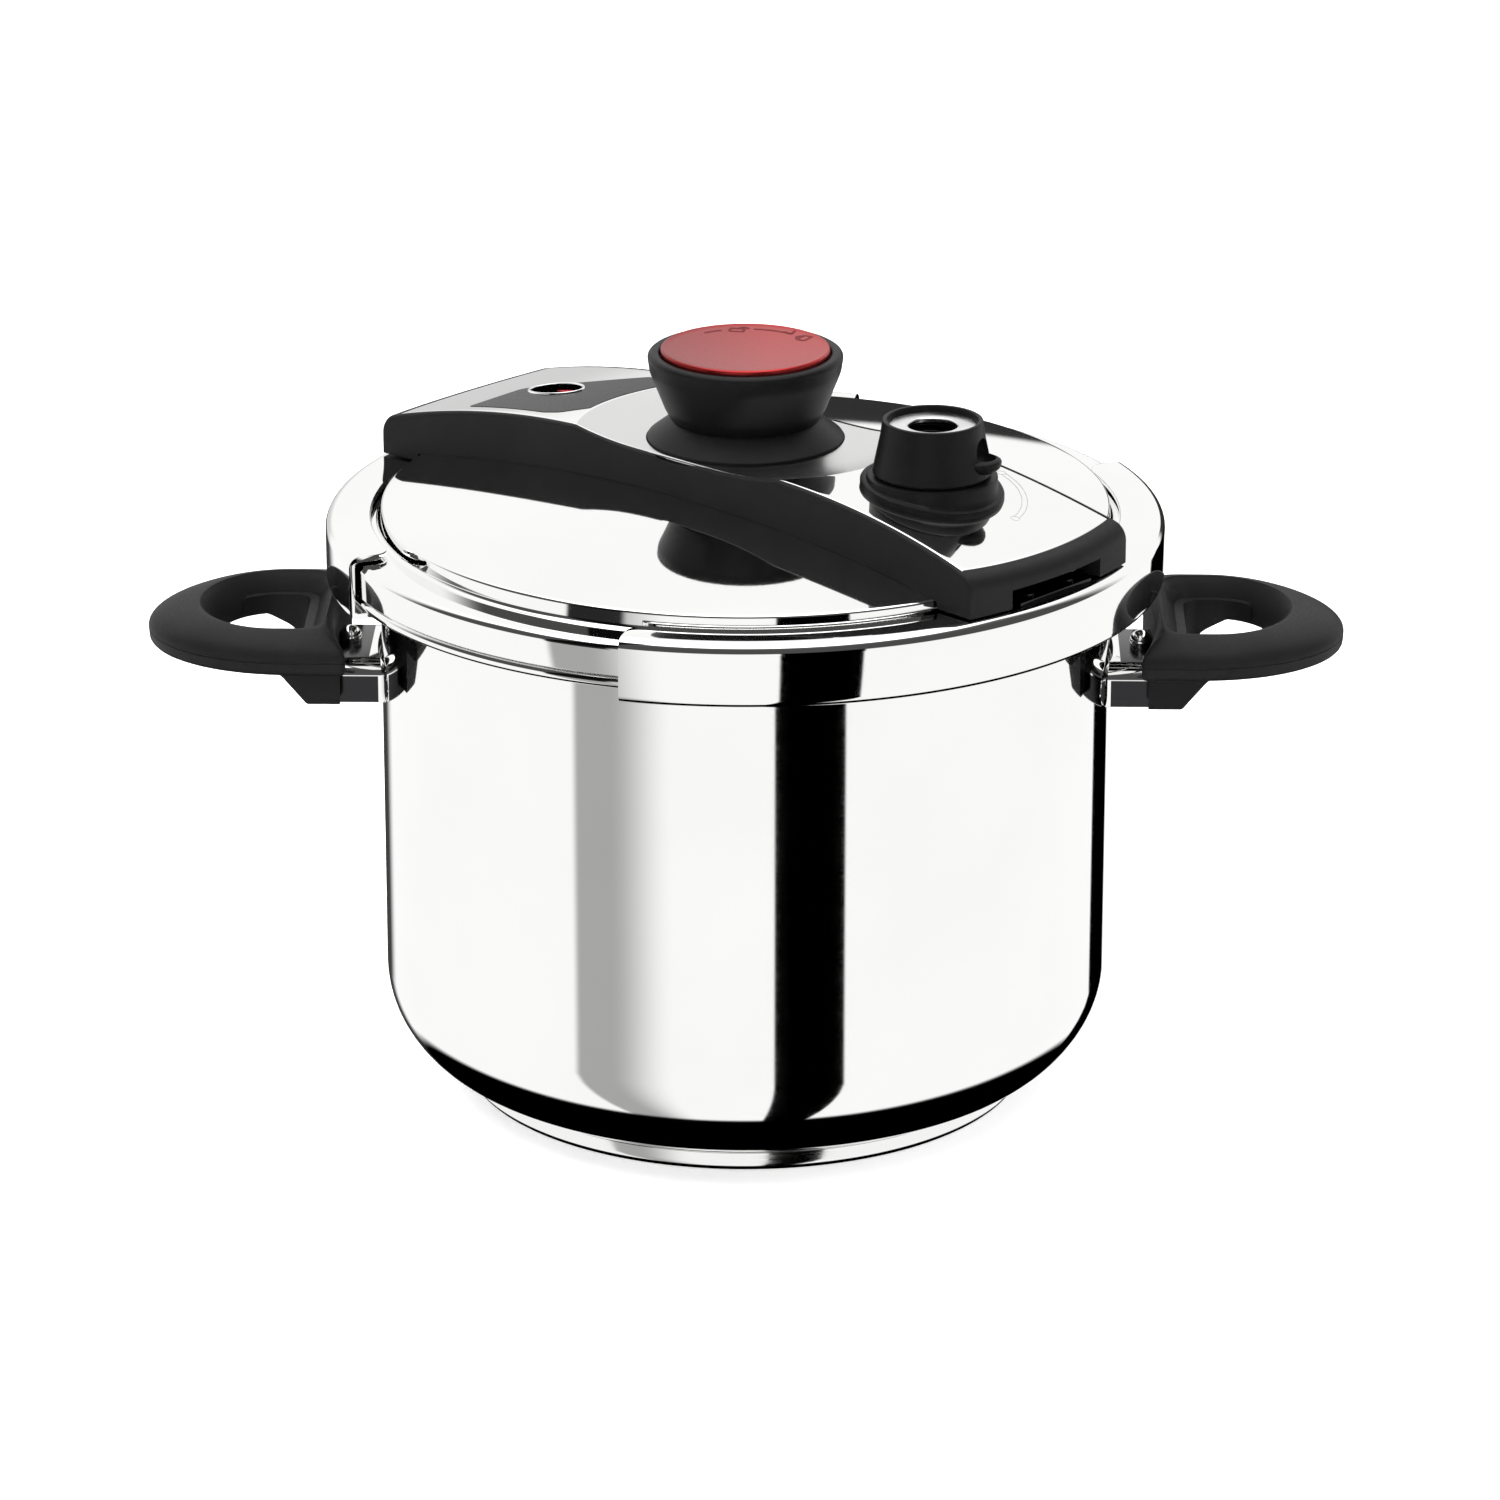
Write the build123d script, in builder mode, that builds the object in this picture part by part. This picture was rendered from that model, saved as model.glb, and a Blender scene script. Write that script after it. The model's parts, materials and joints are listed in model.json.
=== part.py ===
"""Stovetop pressure cooker with a clamp lid, in millimetres, +Z up.

The pot stands on Z = 0 with its axis on Z and its two loop handles along X. Two jaws clamp the
lid to the rim of the pot. They slide apart along the bridge, which lies across the lid, turned
about Z from the handles. The central knob drives them through a pinion and two racks.
"""

import os
from math import atan2, cos, degrees, hypot, pi, radians, sin, sqrt, tan

from build123d import *

os.makedirs("parts", exist_ok=True)

# ---------------------------------------------------------------- driving dimensions
# pot
inner_radius = 110.0
pot_wall = 1.0
pot_corner = 31.0
rim_height = 168.9
rim_width = 13.5
rim_sheet = 1.2
bead_radius = 1.9
base_radius = 87.0
base_height = 6.5
base_sheet = 0.8
base_corner = 5.0

# lid
lid_sheet = 1.2
lid_flange_rise = 10.3
lid_step_rise = 5.4
lid_crown_rise = 9.4
lid_edge_gap = 0.2
gasket_width = 11.0
gasket_groove = 3.0

# jaws
jaw_sheet = 1.8
jaw_gap = 1.0
jaw_top_gap = 0.7
jaw_drop = 6.9
jaw_reach = 13.8
jaw_lip = 8.8
jaw_half_angle = 64.5
jaw_travel = 14.0
jaw_bend = 3.6
jaw_end_corner = 6.0

# bridge
bridge_angle = -41.1
bridge_width = 64.6
bridge_overhang = 13.0
bridge_rise = 13.0
bridge_flat = 60.0
bridge_end_drop = 14.3
bridge_wall = 2.5
bridge_roof = 4.0
bridge_end_wall = 4.0
bridge_edge = 2.2
bridge_screw_offset = 58.0
dome_gap = 0.3
cover_sheet = 0.8
cover_margin = 1.6
cover_end_margin = 5.4
cover_knob_gap = 0.4
dish_radius = 51.5
dish_floor_radius = 33.0
dish_depth = 2.6
knob_seat_depth = 3.9

# gear and arms
gear_module = 1.0
pinion_teeth = 16
pressure_angle = 20.0
gear_backlash = 0.3
gear_thickness = 2.4
rack_rise = 1.6
rack_back = 5.2
arm_sheet = 1.2
arm_width = 32.0
arm_pad_length = 8.0
arm_slot_width = 12.0

# knob
stud_radius = 5.0
running_gap = 0.05
hub_radius = 7.5
hub_flange_radius = 15.0
hub_flange = 3.0
knob_top_radius = 29.7
knob_foot_radius = 22.0
knob_cup_height = 20.2
knob_skirt_height = 7.7
knob_wall = 3.2
insert_radius = 25.6
insert_proud = 1.4
insert_thickness = 3.0

# pressure valve
valve_offset = 74.5
selector_top_radius = 14.9
selector_foot_radius = 17.8
selector_height = 16.7
selector_wall = 2.2
selector_recess = 1.8
collar_radius = 21.4
collar_neck_radius = 19.5
collar_tier = 2.0
collar_height = 4.6
spout_angle = 28.0
spout_radius = 4.4
spout_bore = 3.2
spout_reach = 20.0
disc_hole_radius = 7.3
tube_radius = 4.5
tube_bore = 2.0

# pressure indicator
indicator_offset = -79.0
window_length = 20.0
window_width = 14.5
bezel_width = 1.3
pin_radius = 2.6
pin_lift = 4.0
bush_radius = 4.5

# safety valve
safety_offset = 38.0
safety_side = -22.5
safety_radius = 4.5
safety_lift = 1.5

# handles
handle_gap = 14.0
handle_reach = 71.4
handle_width = 76.0
handle_parting = 144.0
handle_crest = 7.8
handle_under = 4.4
finger_hole_length = 39.2
finger_hole_width = 55.2
finger_hole_funnel = 6.0
foot_depth = 17.5
foot_width = 52.0
bracket_width = 40.0
bracket_height = 13.0
bracket_top = 138.3
bracket_sheet = 1.5
bracket_bend = 5.5
fit_gap = 0.1

# ---------------------------------------------------------------- derived values
pot_radius = inner_radius + pot_wall
rim_radius = pot_radius + rim_width
lid_flange_top = rim_height + lid_flange_rise
lid_edge_top = lid_flange_top + lid_step_rise
crown_top = lid_edge_top + lid_crown_rise
dome_edge = inner_radius + 0.4
dome_radius = (dome_edge**2 + lid_crown_rise**2) / (2 * lid_crown_rise)
dome_centre = crown_top - dome_radius

jaw_inner_radius = rim_radius + jaw_gap
jaw_outer_radius = jaw_inner_radius + jaw_sheet
jaw_top = lid_flange_top + jaw_top_gap + jaw_sheet
jaw_bottom = rim_height - jaw_drop

bridge_end = pot_radius + bridge_overhang
bridge_top = crown_top + bridge_rise
bridge_span = bridge_end - bridge_flat / 2
bridge_curve = (bridge_span**2 + bridge_end_drop**2) / (2 * bridge_end_drop)
bridge_bottom = jaw_top + 0.6

pitch_radius = gear_module * pinion_teeth / 2
tooth_pitch = pi * gear_module
tip_radius = pitch_radius + gear_module
root_depth = 1.25 * gear_module
root_radius = pitch_radius - root_depth
rack_bottom = crown_top + rack_rise
rack_top = rack_bottom + arm_sheet
knob_turn = degrees(jaw_travel / pitch_radius)

skirt_bottom = bridge_top - knob_seat_depth + dome_gap
skirt_top = skirt_bottom + knob_skirt_height
flange_bottom = skirt_top + 1.0
cup_floor = flange_bottom + hub_flange
cup_top = skirt_top + knob_cup_height

handle_inner = pot_radius + handle_gap
handle_tip = pot_radius + handle_reach
foot_bottom = handle_parting - foot_depth

# planes: across lies flat with X along the bridge, along stands upright through its middle
across = Plane.XY.rotated((0, 0, bridge_angle))
along = Plane(origin=(0, 0, 0), x_dir=across.x_dir, z_dir=-across.y_dir)


def dome_height(radius):
    """Height of the lid's outer face at a distance from the axis."""
    return dome_centre + sqrt(dome_radius**2 - radius**2)


def bridge_height(offset):
    """Height of the top of the bridge at a distance along it: flat, then one arc."""
    run = max(abs(offset) - bridge_flat / 2, 0)
    return bridge_top - bridge_curve + sqrt(bridge_curve**2 - run**2)


def spot(offset, side=0.0, height=0.0):
    """Point given along the bridge, across it and up."""
    return across.from_local_coords(Vector(offset, side, height))


def upright(offset, side=0.0):
    """Vertical plane through a point of the bridge, for profiles turned about its axis."""
    return Plane(origin=spot(offset, side), x_dir=across.x_dir, z_dir=-across.y_dir)


def level(offset, side, height):
    """Flat plane over a point of the bridge."""
    return Plane(origin=spot(offset, side, height), x_dir=across.x_dir, z_dir=(0, 0, 1))


def turned(plane, points):
    """Solid of revolution about the plane's own Y axis, from a closed outline of its points."""
    with BuildPart() as piece:
        with BuildSketch(plane):
            with BuildLine():
                Polyline(*points, close=True)
            make_face()
        revolve(axis=Axis(plane.origin, plane.y_dir))
    return piece.part


# ---------------------------------------------------------------- pot and base
with BuildPart() as pot_body:
    with BuildSketch(Plane.XZ):
        with BuildLine():
            floor_outside = Line((0, base_height), (pot_radius - pot_corner, base_height))
            corner_outside = JernArc(floor_outside @ 1, (1, 0), pot_corner, 90)
            wall_outside = Line(corner_outside @ 1, (pot_radius, rim_height - rim_sheet))
            rim_under = Line(wall_outside @ 1, (rim_radius - bead_radius, rim_height - rim_sheet))
            rim_end = Line(rim_under @ 1, (rim_radius - bead_radius, rim_height))
            rim_over = Line(rim_end @ 1, (inner_radius, rim_height))
            wall_inside = Line(rim_over @ 1, (inner_radius, base_height + pot_corner))
            corner_inside = JernArc(wall_inside @ 1, (0, -1), pot_corner - pot_wall, -90)
            floor_inside = Line(corner_inside @ 1, (0, base_height + pot_wall))
            Line(floor_inside @ 1, floor_outside @ 0)
        make_face()
        with Locations((rim_radius - bead_radius, rim_height - bead_radius)):
            Circle(bead_radius)
    revolve(axis=Axis.Z)
pot_body.part.label = "pot_body"
export_step(pot_body.part, "parts/pot_body.step")

with BuildPart() as base_core:
    with BuildSketch(Plane.XY.offset(base_sheet)):
        Circle(base_radius - base_sheet)
    extrude(amount=base_height - base_sheet)
    fillet(base_core.edges().sort_by(Axis.Z)[0], base_corner - base_sheet)
base_core.part.label = "base_core"
export_step(base_core.part, "parts/base_core.step")

with BuildPart() as base_cap:
    with BuildSketch(Plane.XY):
        Circle(base_radius)
    extrude(amount=base_height)
    fillet(base_cap.edges().sort_by(Axis.Z)[0], base_corner)
    add(base_core.part, mode=Mode.SUBTRACT)
base_cap.part.label = "base_cap"
export_step(base_cap.part, "parts/base_cap.step")

# ---------------------------------------------------------------- lid and gasket
screw_radius = 2.5
screw_side = 24.5
lid_edge_bend = 1.0
skirt_foot = rim_height + lid_edge_gap
screw_places = [
    (bridge_screw_offset, screw_side),
    (bridge_screw_offset, -screw_side),
    (-bridge_screw_offset, screw_side),
    (-bridge_screw_offset, -screw_side),
]

with BuildPart() as lid:
    with BuildSketch(Plane.XZ):
        with BuildLine():
            dome_outside = RadiusArc((0, crown_top), (dome_edge, lid_edge_top), dome_radius)
            step_outside = Line(dome_outside @ 1, (pot_radius, lid_flange_top))
            flange_over = Line(step_outside @ 1, (rim_radius - lid_edge_bend, lid_flange_top))
            flange_bend = Line(flange_over @ 1, (rim_radius, lid_flange_top - lid_edge_bend))
            skirt_outside = Line(flange_bend @ 1, (rim_radius, skirt_foot))
            skirt_end = Line(skirt_outside @ 1, (rim_radius - lid_sheet, skirt_foot))
            skirt_inside = Line(skirt_end @ 1, (rim_radius - lid_sheet, lid_flange_top - lid_sheet))
            flange_below = Line(skirt_inside @ 1, (pot_radius - lid_sheet, lid_flange_top - lid_sheet))
            dome_foot = (dome_edge - lid_sheet, lid_edge_top - lid_sheet)
            step_inside = Line(flange_below @ 1, dome_foot)
            dome_inside = RadiusArc(step_inside @ 1, (0, crown_top - lid_sheet), -dome_radius)
            Line(dome_inside @ 1, dome_outside @ 0)
        make_face()
    revolve(axis=Axis.Z)
    with BuildSketch(across.offset(rim_height)):
        Circle(stud_radius)
        with Locations((valve_offset, 0)):
            Circle(tube_radius)
        with Locations((indicator_offset, 0)):
            Circle(bush_radius)
        with Locations((safety_offset, safety_side)):
            Circle(safety_radius)
        with Locations(*screw_places):
            Circle(screw_radius + fit_gap)
    extrude(amount=crown_top, mode=Mode.SUBTRACT)
lid.part.label = "lid"
export_step(lid.part, "parts/lid.step")

gasket_outer = rim_radius - lid_sheet
gasket_top = lid_flange_top - lid_sheet
gasket_lip = 2.2
gasket_lip_slope = 1.4
gasket_foot = 3.2
gasket_foot_setback = 1.0
with BuildPart() as gasket:
    with BuildSketch(Plane.XZ):
        with BuildLine():
            Polyline(
                (gasket_outer, rim_height),
                (gasket_outer, gasket_top),
                (gasket_outer - gasket_width, gasket_top),
                (gasket_outer - gasket_width, gasket_top - gasket_lip),
                (gasket_outer - gasket_groove, gasket_top - gasket_lip - gasket_lip_slope),
                (gasket_outer - gasket_groove, rim_height + gasket_foot),
                (gasket_outer - gasket_width + gasket_foot_setback, rim_height),
                close=True,
            )
        make_face()
    revolve(axis=Axis.Z)
gasket.part.label = "gasket"
export_step(gasket.part, "parts/gasket.step")

# ---------------------------------------------------------------- handles and brackets
tongue_length = 8.5
screw_setback = 3.6
rivet_setback = 4.2
tongue_end = handle_inner + tongue_length
screw_place = handle_inner + screw_setback
rivet_place = handle_inner - rivet_setback
bracket_start = inner_radius - 10.0
flange_margin = 7.0
flange_drop = 4.0
flange_blank_depth = 40.0
rivet_radius = 3.6
rivet_height = 5.2
rivet_flat = 0.4
handle_screw_radius = 2.4
handle_head_radius = 4.2
handle_head_height = 2.6
screw_tip = 2.0
screw_tip_room = 3.0
screw_sink = 0.4
screw_drive = 2.0
screw_drive_depth = 1.6

with BuildPart() as right_bracket:
    with BuildSketch(Plane.YZ.offset(bracket_start)):
        with Locations((0, bracket_top - bracket_height / 2)):
            Rectangle(bracket_width, bracket_height)
    extrude(amount=handle_inner - bracket_start)
    with BuildSketch(Plane.XY.offset(bracket_top - 2 * bracket_height)):
        Circle(handle_inner)
    extrude(amount=3 * bracket_height, mode=Mode.INTERSECT)
    top_edges = right_bracket.edges().filter_by(Axis.X).group_by(Axis.Z)[-1]
    fillet(top_edges, bracket_bend)
    with BuildSketch(Plane.YZ.offset(bracket_start)):
        with Locations((0, bracket_top - bracket_sheet - bracket_height / 2)):
            Rectangle(bracket_width - 2 * bracket_sheet, bracket_height)
    extrude(amount=handle_inner - bracket_start, mode=Mode.SUBTRACT)
    with BuildSketch(Plane.XY.offset(bracket_top)):
        with Locations(((inner_radius + tongue_end) / 2, 0)):
            Rectangle(tongue_end - inner_radius, bracket_width - 2 * bracket_bend)
    extrude(amount=-bracket_sheet)
    with BuildSketch(Plane.YZ.offset(bracket_start)):
        with Locations((0, bracket_top - bracket_height / 2)):
            Ellipse(bracket_width / 2 + flange_margin, bracket_height / 2 + flange_drop)
    flange_blank = extrude(amount=flange_blank_depth, mode=Mode.PRIVATE)
    with BuildSketch(Plane.XY.offset(bracket_top - 2 * bracket_height)):
        Circle(pot_radius + bracket_sheet)
    flange_ring = extrude(amount=3 * bracket_height, mode=Mode.PRIVATE)
    add(flange_blank & flange_ring)
    with BuildSketch(Plane.XY):
        Circle(pot_radius)
    extrude(amount=rim_height, mode=Mode.SUBTRACT)
    with BuildSketch(Plane.XY.offset(bracket_top)):
        with Locations((screw_place, 0)):
            Circle(handle_screw_radius)
    extrude(amount=-2 * bracket_sheet, mode=Mode.SUBTRACT)
right_bracket.part.label = "right_bracket"
export_step(right_bracket.part, "parts/right_bracket.step")

with BuildPart() as left_bracket:
    mirror(right_bracket.part, about=Plane.YZ)
left_bracket.part.label = "left_bracket"
export_step(left_bracket.part, "parts/left_bracket.step")

loop_half = handle_width / 2
loop_depth = 45.3
loop_middle = handle_tip - loop_depth
grip_depth = 16.1
hole_outer = handle_tip - grip_depth
hole_inner = hole_outer - finger_hole_length
hole_half = finger_hole_width / 2
hole_shoulder = 14.0
hole_middle = hole_inner + hole_shoulder
hole_corner = 6.0
funnel_shift = 2.0
funnel_inner = hole_inner + finger_hole_funnel + 1.0
funnel_outer = hole_outer - finger_hole_funnel + 1.0
funnel_half = hole_half - finger_hole_funnel
foot_reach = 8.0
foot_shoulder = 17.0
foot_shoulder_drop = 9.5
foot_blend = 22.0
crest_flat = 1.0
under_flat = 0.8
crest = handle_parting + handle_crest

with BuildPart() as right_handle:
    with BuildSketch(Plane.XY.offset(handle_parting)) as loop_outline:
        with BuildLine():
            tip_arc = EllipticalCenterArc(
                (loop_middle, 0), handle_tip - loop_middle, loop_half, start_angle=-90, arc_size=180
            )
            Polyline(
                tip_arc @ 0,
                (pot_radius, -loop_half),
                (pot_radius, loop_half),
                tip_arc @ 1,
            )
        make_face()
    extrude(amount=handle_crest)
    fillet(right_handle.edges().group_by(Axis.Z)[-1], handle_crest - crest_flat)
    with BuildSketch(Plane.XY.offset(handle_parting)):
        add(loop_outline.sketch)
    extrude(amount=-handle_under)
    fillet(right_handle.edges().group_by(Axis.Z)[0], handle_under - under_flat)
    with BuildSketch(Plane.XZ):
        with BuildLine():
            Polyline(
                (pot_radius, handle_parting),
                (pot_radius, foot_bottom),
                (handle_inner + foot_reach, foot_bottom),
                (handle_inner + foot_shoulder, handle_parting - foot_shoulder_drop),
                (handle_inner + foot_blend, handle_parting - handle_under),
                (handle_inner + foot_blend, handle_parting),
                close=True,
            )
        make_face()
    extrude(amount=foot_width / 2, both=True)
    with BuildSketch(Plane.XY.offset(crest)) as hole_top:
        with BuildLine():
            wide_arc = EllipticalCenterArc(
                (hole_middle, 0), hole_outer - hole_middle, hole_half, start_angle=-100, arc_size=200
            )
            Polyline(
                wide_arc @ 0,
                (hole_inner, -hole_half + hole_corner),
                (hole_inner, hole_half - hole_corner),
                wide_arc @ 1,
            )
        make_face()
    with BuildSketch(Plane.XY.offset(handle_parting - handle_under)) as hole_bottom:
        with BuildLine():
            narrow_arc = EllipticalCenterArc(
                (hole_middle + funnel_shift, 0),
                funnel_outer - hole_middle - funnel_shift,
                funnel_half,
                start_angle=-100,
                arc_size=200,
            )
            Polyline(
                narrow_arc @ 0,
                (funnel_inner, -funnel_half + hole_corner),
                (funnel_inner, funnel_half - hole_corner),
                narrow_arc @ 1,
            )
        make_face()
    loft([hole_top.sketch, hole_bottom.sketch], mode=Mode.SUBTRACT)
    with BuildSketch(Plane.XY.offset(handle_parting - handle_under)):
        add(hole_bottom.sketch)
    extrude(amount=-foot_depth, mode=Mode.SUBTRACT)
    with BuildSketch(Plane.XY):
        Circle(handle_inner)
    extrude(amount=rim_height, mode=Mode.SUBTRACT)
    with BuildSketch(Plane.XY.offset(bracket_top + fit_gap)):
        with Locations((tongue_end / 2, 0)):
            Rectangle(tongue_end + 2 * fit_gap, bracket_width - 2 * bracket_bend + 2 * fit_gap)
    extrude(amount=-bracket_sheet - 2 * fit_gap, mode=Mode.SUBTRACT)
    with BuildSketch(Plane.XY.offset(foot_bottom)):
        with Locations((screw_place, 0)):
            Circle(handle_screw_radius)
    extrude(amount=bracket_top - foot_bottom + screw_tip_room, mode=Mode.SUBTRACT)
    with BuildSketch(Plane.XY.offset(foot_bottom)):
        with Locations((screw_place, 0)):
            Circle(handle_head_radius + fit_gap)
    extrude(amount=handle_head_height + screw_sink, mode=Mode.SUBTRACT)
right_handle.part.label = "right_handle"
export_step(right_handle.part, "parts/right_handle.step")

with BuildPart() as left_handle:
    mirror(right_handle.part, about=Plane.YZ)
left_handle.part.label = "left_handle"
export_step(left_handle.part, "parts/left_handle.step")

with BuildPart() as handle_screws:
    for place in (screw_place, -screw_place):
        with BuildSketch(Plane(origin=(place, 0, foot_bottom + screw_sink))):
            Circle(handle_head_radius)
        extrude(amount=handle_head_height)
        with BuildSketch(Plane(origin=(place, 0, foot_bottom + screw_sink))):
            Circle(handle_screw_radius)
        extrude(amount=bracket_top - foot_bottom + screw_tip)
    for place in (screw_place, -screw_place):
        with BuildSketch(Plane(origin=(place, 0, foot_bottom + screw_sink))):
            RegularPolygon(radius=screw_drive, side_count=6)
        extrude(amount=screw_drive_depth, mode=Mode.SUBTRACT)
handle_screws.part.label = "handle_screws"
export_step(handle_screws.part, "parts/handle_screws.step")

with BuildPart() as bracket_rivets:
    for place in (rivet_place, -rivet_place):
        with BuildSketch(Plane(origin=(place, 0, bracket_top))):
            Circle(rivet_radius)
        extrude(amount=rivet_height)
    domes = bracket_rivets.edges().filter_by(GeomType.CIRCLE).group_by(Axis.Z)[-1]
    fillet(domes, rivet_radius - rivet_flat)
bracket_rivets.part.label = "bracket_rivets"
export_step(bracket_rivets.part, "parts/bracket_rivets.step")

# ---------------------------------------------------------------- jaws, arms and their rivets
pad_setback = 1.2
pad_outer = jaw_outer_radius - jaw_bend - pad_setback
pad_inner = pad_outer - arm_pad_length
arm_rivet_radius = 2.5
arm_rivet_side = 9.0
arm_rivet_place = (pad_outer + pad_inner) / 2
arm_rivet_head = 1.0
same_radius = 0.01


def jaw(direction):
    """Channel-shaped arc round the rim, open towards the axis, centred on a direction."""
    with BuildPart() as piece:
        section = Plane.XZ.rotated((0, 0, direction - jaw_half_angle))
        with BuildSketch(section):
            with BuildLine():
                Polyline(
                    (jaw_outer_radius, jaw_bottom),
                    (jaw_outer_radius, jaw_top),
                    (jaw_outer_radius - jaw_reach, jaw_top),
                    (jaw_outer_radius - jaw_reach, jaw_top - jaw_sheet),
                    (jaw_inner_radius, jaw_top - jaw_sheet),
                    (jaw_inner_radius, jaw_bottom + jaw_sheet),
                    (jaw_outer_radius - jaw_lip, jaw_bottom + jaw_sheet),
                    (jaw_outer_radius - jaw_lip, jaw_bottom),
                    close=True,
                )
            make_face()
        revolve(axis=Axis.Z, revolution_arc=2 * jaw_half_angle)
        outer = piece.edges().filter_by(GeomType.CIRCLE)
        outer = outer.filter_by(lambda edge: abs(edge.radius - jaw_outer_radius) < same_radius)
        fillet(outer.group_by(Axis.Z)[-1], jaw_bend)
        outer = piece.edges().filter_by(GeomType.CIRCLE)
        outer = outer.filter_by(lambda edge: abs(edge.radius - jaw_outer_radius) < same_radius)
        fillet(outer.group_by(Axis.Z)[0], jaw_bend)
        upright_edges = piece.edges().filter_by(Axis.Z)
        corner_radius = jaw_outer_radius - jaw_reach
        corners = upright_edges.filter_by(
            lambda edge: abs(hypot(edge.center().X, edge.center().Y) - corner_radius) < same_radius
        )
        fillet(corners, jaw_end_corner)
        with BuildSketch(level(0, 0, jaw_bottom).rotated((0, 0, direction - bridge_angle))):
            with Locations((arm_rivet_place, arm_rivet_side), (arm_rivet_place, -arm_rivet_side)):
                Circle(arm_rivet_radius / 2)
        extrude(amount=jaw_top, mode=Mode.SUBTRACT)
    return piece.part


with BuildPart() as jaw_front:
    add(jaw(bridge_angle))
jaw_front.part.label = "jaw_front"
export_step(jaw_front.part, "parts/jaw_front.step")

with BuildPart() as jaw_rear:
    add(jaw(bridge_angle + 180))
jaw_rear.part.label = "jaw_rear"
export_step(jaw_rear.part, "parts/jaw_rear.step")

# the arm climbs from its pad over the edge of the dome, then along above it to the rack
arm_gap = 0.4
joggle_foot = pad_inner - 0.4
joggle_head = dome_edge + 1.2
shoulder = dome_edge - 12.4
rack_start = valve_offset - 10.5
strip_start = 22.0
rack_edge = arm_width / 2 - 3.3
tooth_reach = 2.2 * gear_module
rack_end = -jaw_travel - 1.8 * tooth_pitch
arm_slope = [
    (pad_outer, jaw_top),
    (joggle_foot, jaw_top),
    (joggle_head, lid_edge_top + arm_gap),
    (shoulder, dome_height(shoulder) + arm_gap),
    (rack_start, rack_bottom),
    (rack_end, rack_bottom),
]


def arm(direction):
    """Strip with a pad for the jaw at one end and a rack at the other, along a direction."""
    flat = Plane.XY.rotated((0, 0, direction))
    side = Plane(origin=(0, 0, 0), x_dir=flat.x_dir, z_dir=-flat.y_dir)
    raised = [(x, y + arm_sheet) for x, y in reversed(arm_slope)]
    tooth_half = tooth_pitch / 4 - gear_backlash / 4
    lean = tan(radians(pressure_angle))
    with BuildPart() as piece:
        with BuildSketch(side):
            with BuildLine():
                Polyline(*arm_slope, *raised, close=True)
            make_face()
        extrude(amount=arm_width / 2, both=True)
        with BuildSketch(flat.offset(jaw_top - 1)):
            with Locations(((rack_end + strip_start) / 2, rack_edge)):
                Rectangle(strip_start - rack_end, 2 * arm_width)
        extrude(amount=rack_top, mode=Mode.SUBTRACT)
        with BuildSketch(flat.offset(rack_bottom)):
            root_line = -pitch_radius - root_depth
            with Locations(((rack_end + strip_start) / 2 + 1, root_line - rack_back / 2)):
                Rectangle(strip_start - rack_end + 2, rack_back)
            for count in range(-6, 2):
                middle_of_tooth = (count + 0.5) * tooth_pitch
                base_half = tooth_half + root_depth * lean
                tip_half = tooth_half - gear_module * lean
                with BuildLine():
                    Polyline(
                        (middle_of_tooth - base_half, root_line - 0.1),
                        (middle_of_tooth + base_half, root_line - 0.1),
                        (middle_of_tooth + tip_half, root_line + tooth_reach),
                        (middle_of_tooth - tip_half, root_line + tooth_reach),
                        close=True,
                    )
                make_face()
        extrude(amount=arm_sheet)
        with BuildSketch(flat.offset(jaw_top - 1)):
            slot_inner = valve_offset - jaw_travel - arm_slot_width / 2
            slot_outer = -indicator_offset + arm_slot_width / 2
            with Locations(((slot_inner + slot_outer) / 2, 0)):
                SlotOverall(slot_outer - slot_inner, arm_slot_width)
            with Locations((arm_rivet_place, arm_rivet_side), (arm_rivet_place, -arm_rivet_side)):
                Circle(arm_rivet_radius / 2)
        extrude(amount=rack_top, mode=Mode.SUBTRACT)
    return piece.part


with BuildPart() as arm_front:
    add(arm(bridge_angle))
arm_front.part.label = "arm_front"
export_step(arm_front.part, "parts/arm_front.step")

with BuildPart() as arm_rear:
    add(arm(bridge_angle + 180))
arm_rear.part.label = "arm_rear"
export_step(arm_rear.part, "parts/arm_rear.step")


def arm_rivets(direction):
    """Two rivets that fasten an arm's pad to its jaw."""
    flat = Plane.XY.rotated((0, 0, direction))
    with BuildPart() as piece:
        with BuildSketch(flat.offset(jaw_top - jaw_sheet)):
            with Locations((arm_rivet_place, arm_rivet_side), (arm_rivet_place, -arm_rivet_side)):
                Circle(arm_rivet_radius / 2)
        extrude(amount=jaw_sheet + arm_sheet)
        with BuildSketch(flat.offset(jaw_top + arm_sheet)):
            with Locations((arm_rivet_place, arm_rivet_side), (arm_rivet_place, -arm_rivet_side)):
                Circle(arm_rivet_radius)
        extrude(amount=arm_rivet_head)
    return piece.part


with BuildPart() as arm_front_rivets:
    add(arm_rivets(bridge_angle))
arm_front_rivets.part.label = "arm_front_rivets"
export_step(arm_front_rivets.part, "parts/arm_front_rivets.step")

with BuildPart() as arm_rear_rivets:
    add(arm_rivets(bridge_angle + 180))
arm_rear_rivets.part.label = "arm_rear_rivets"
export_step(arm_rear_rivets.part, "parts/arm_rear_rivets.step")

# ---------------------------------------------------------------- bridge and covers
half_width = bridge_width / 2
cover_half = half_width - cover_margin
cover_end = bridge_end - cover_end_margin
block_bottom = rim_height


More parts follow.
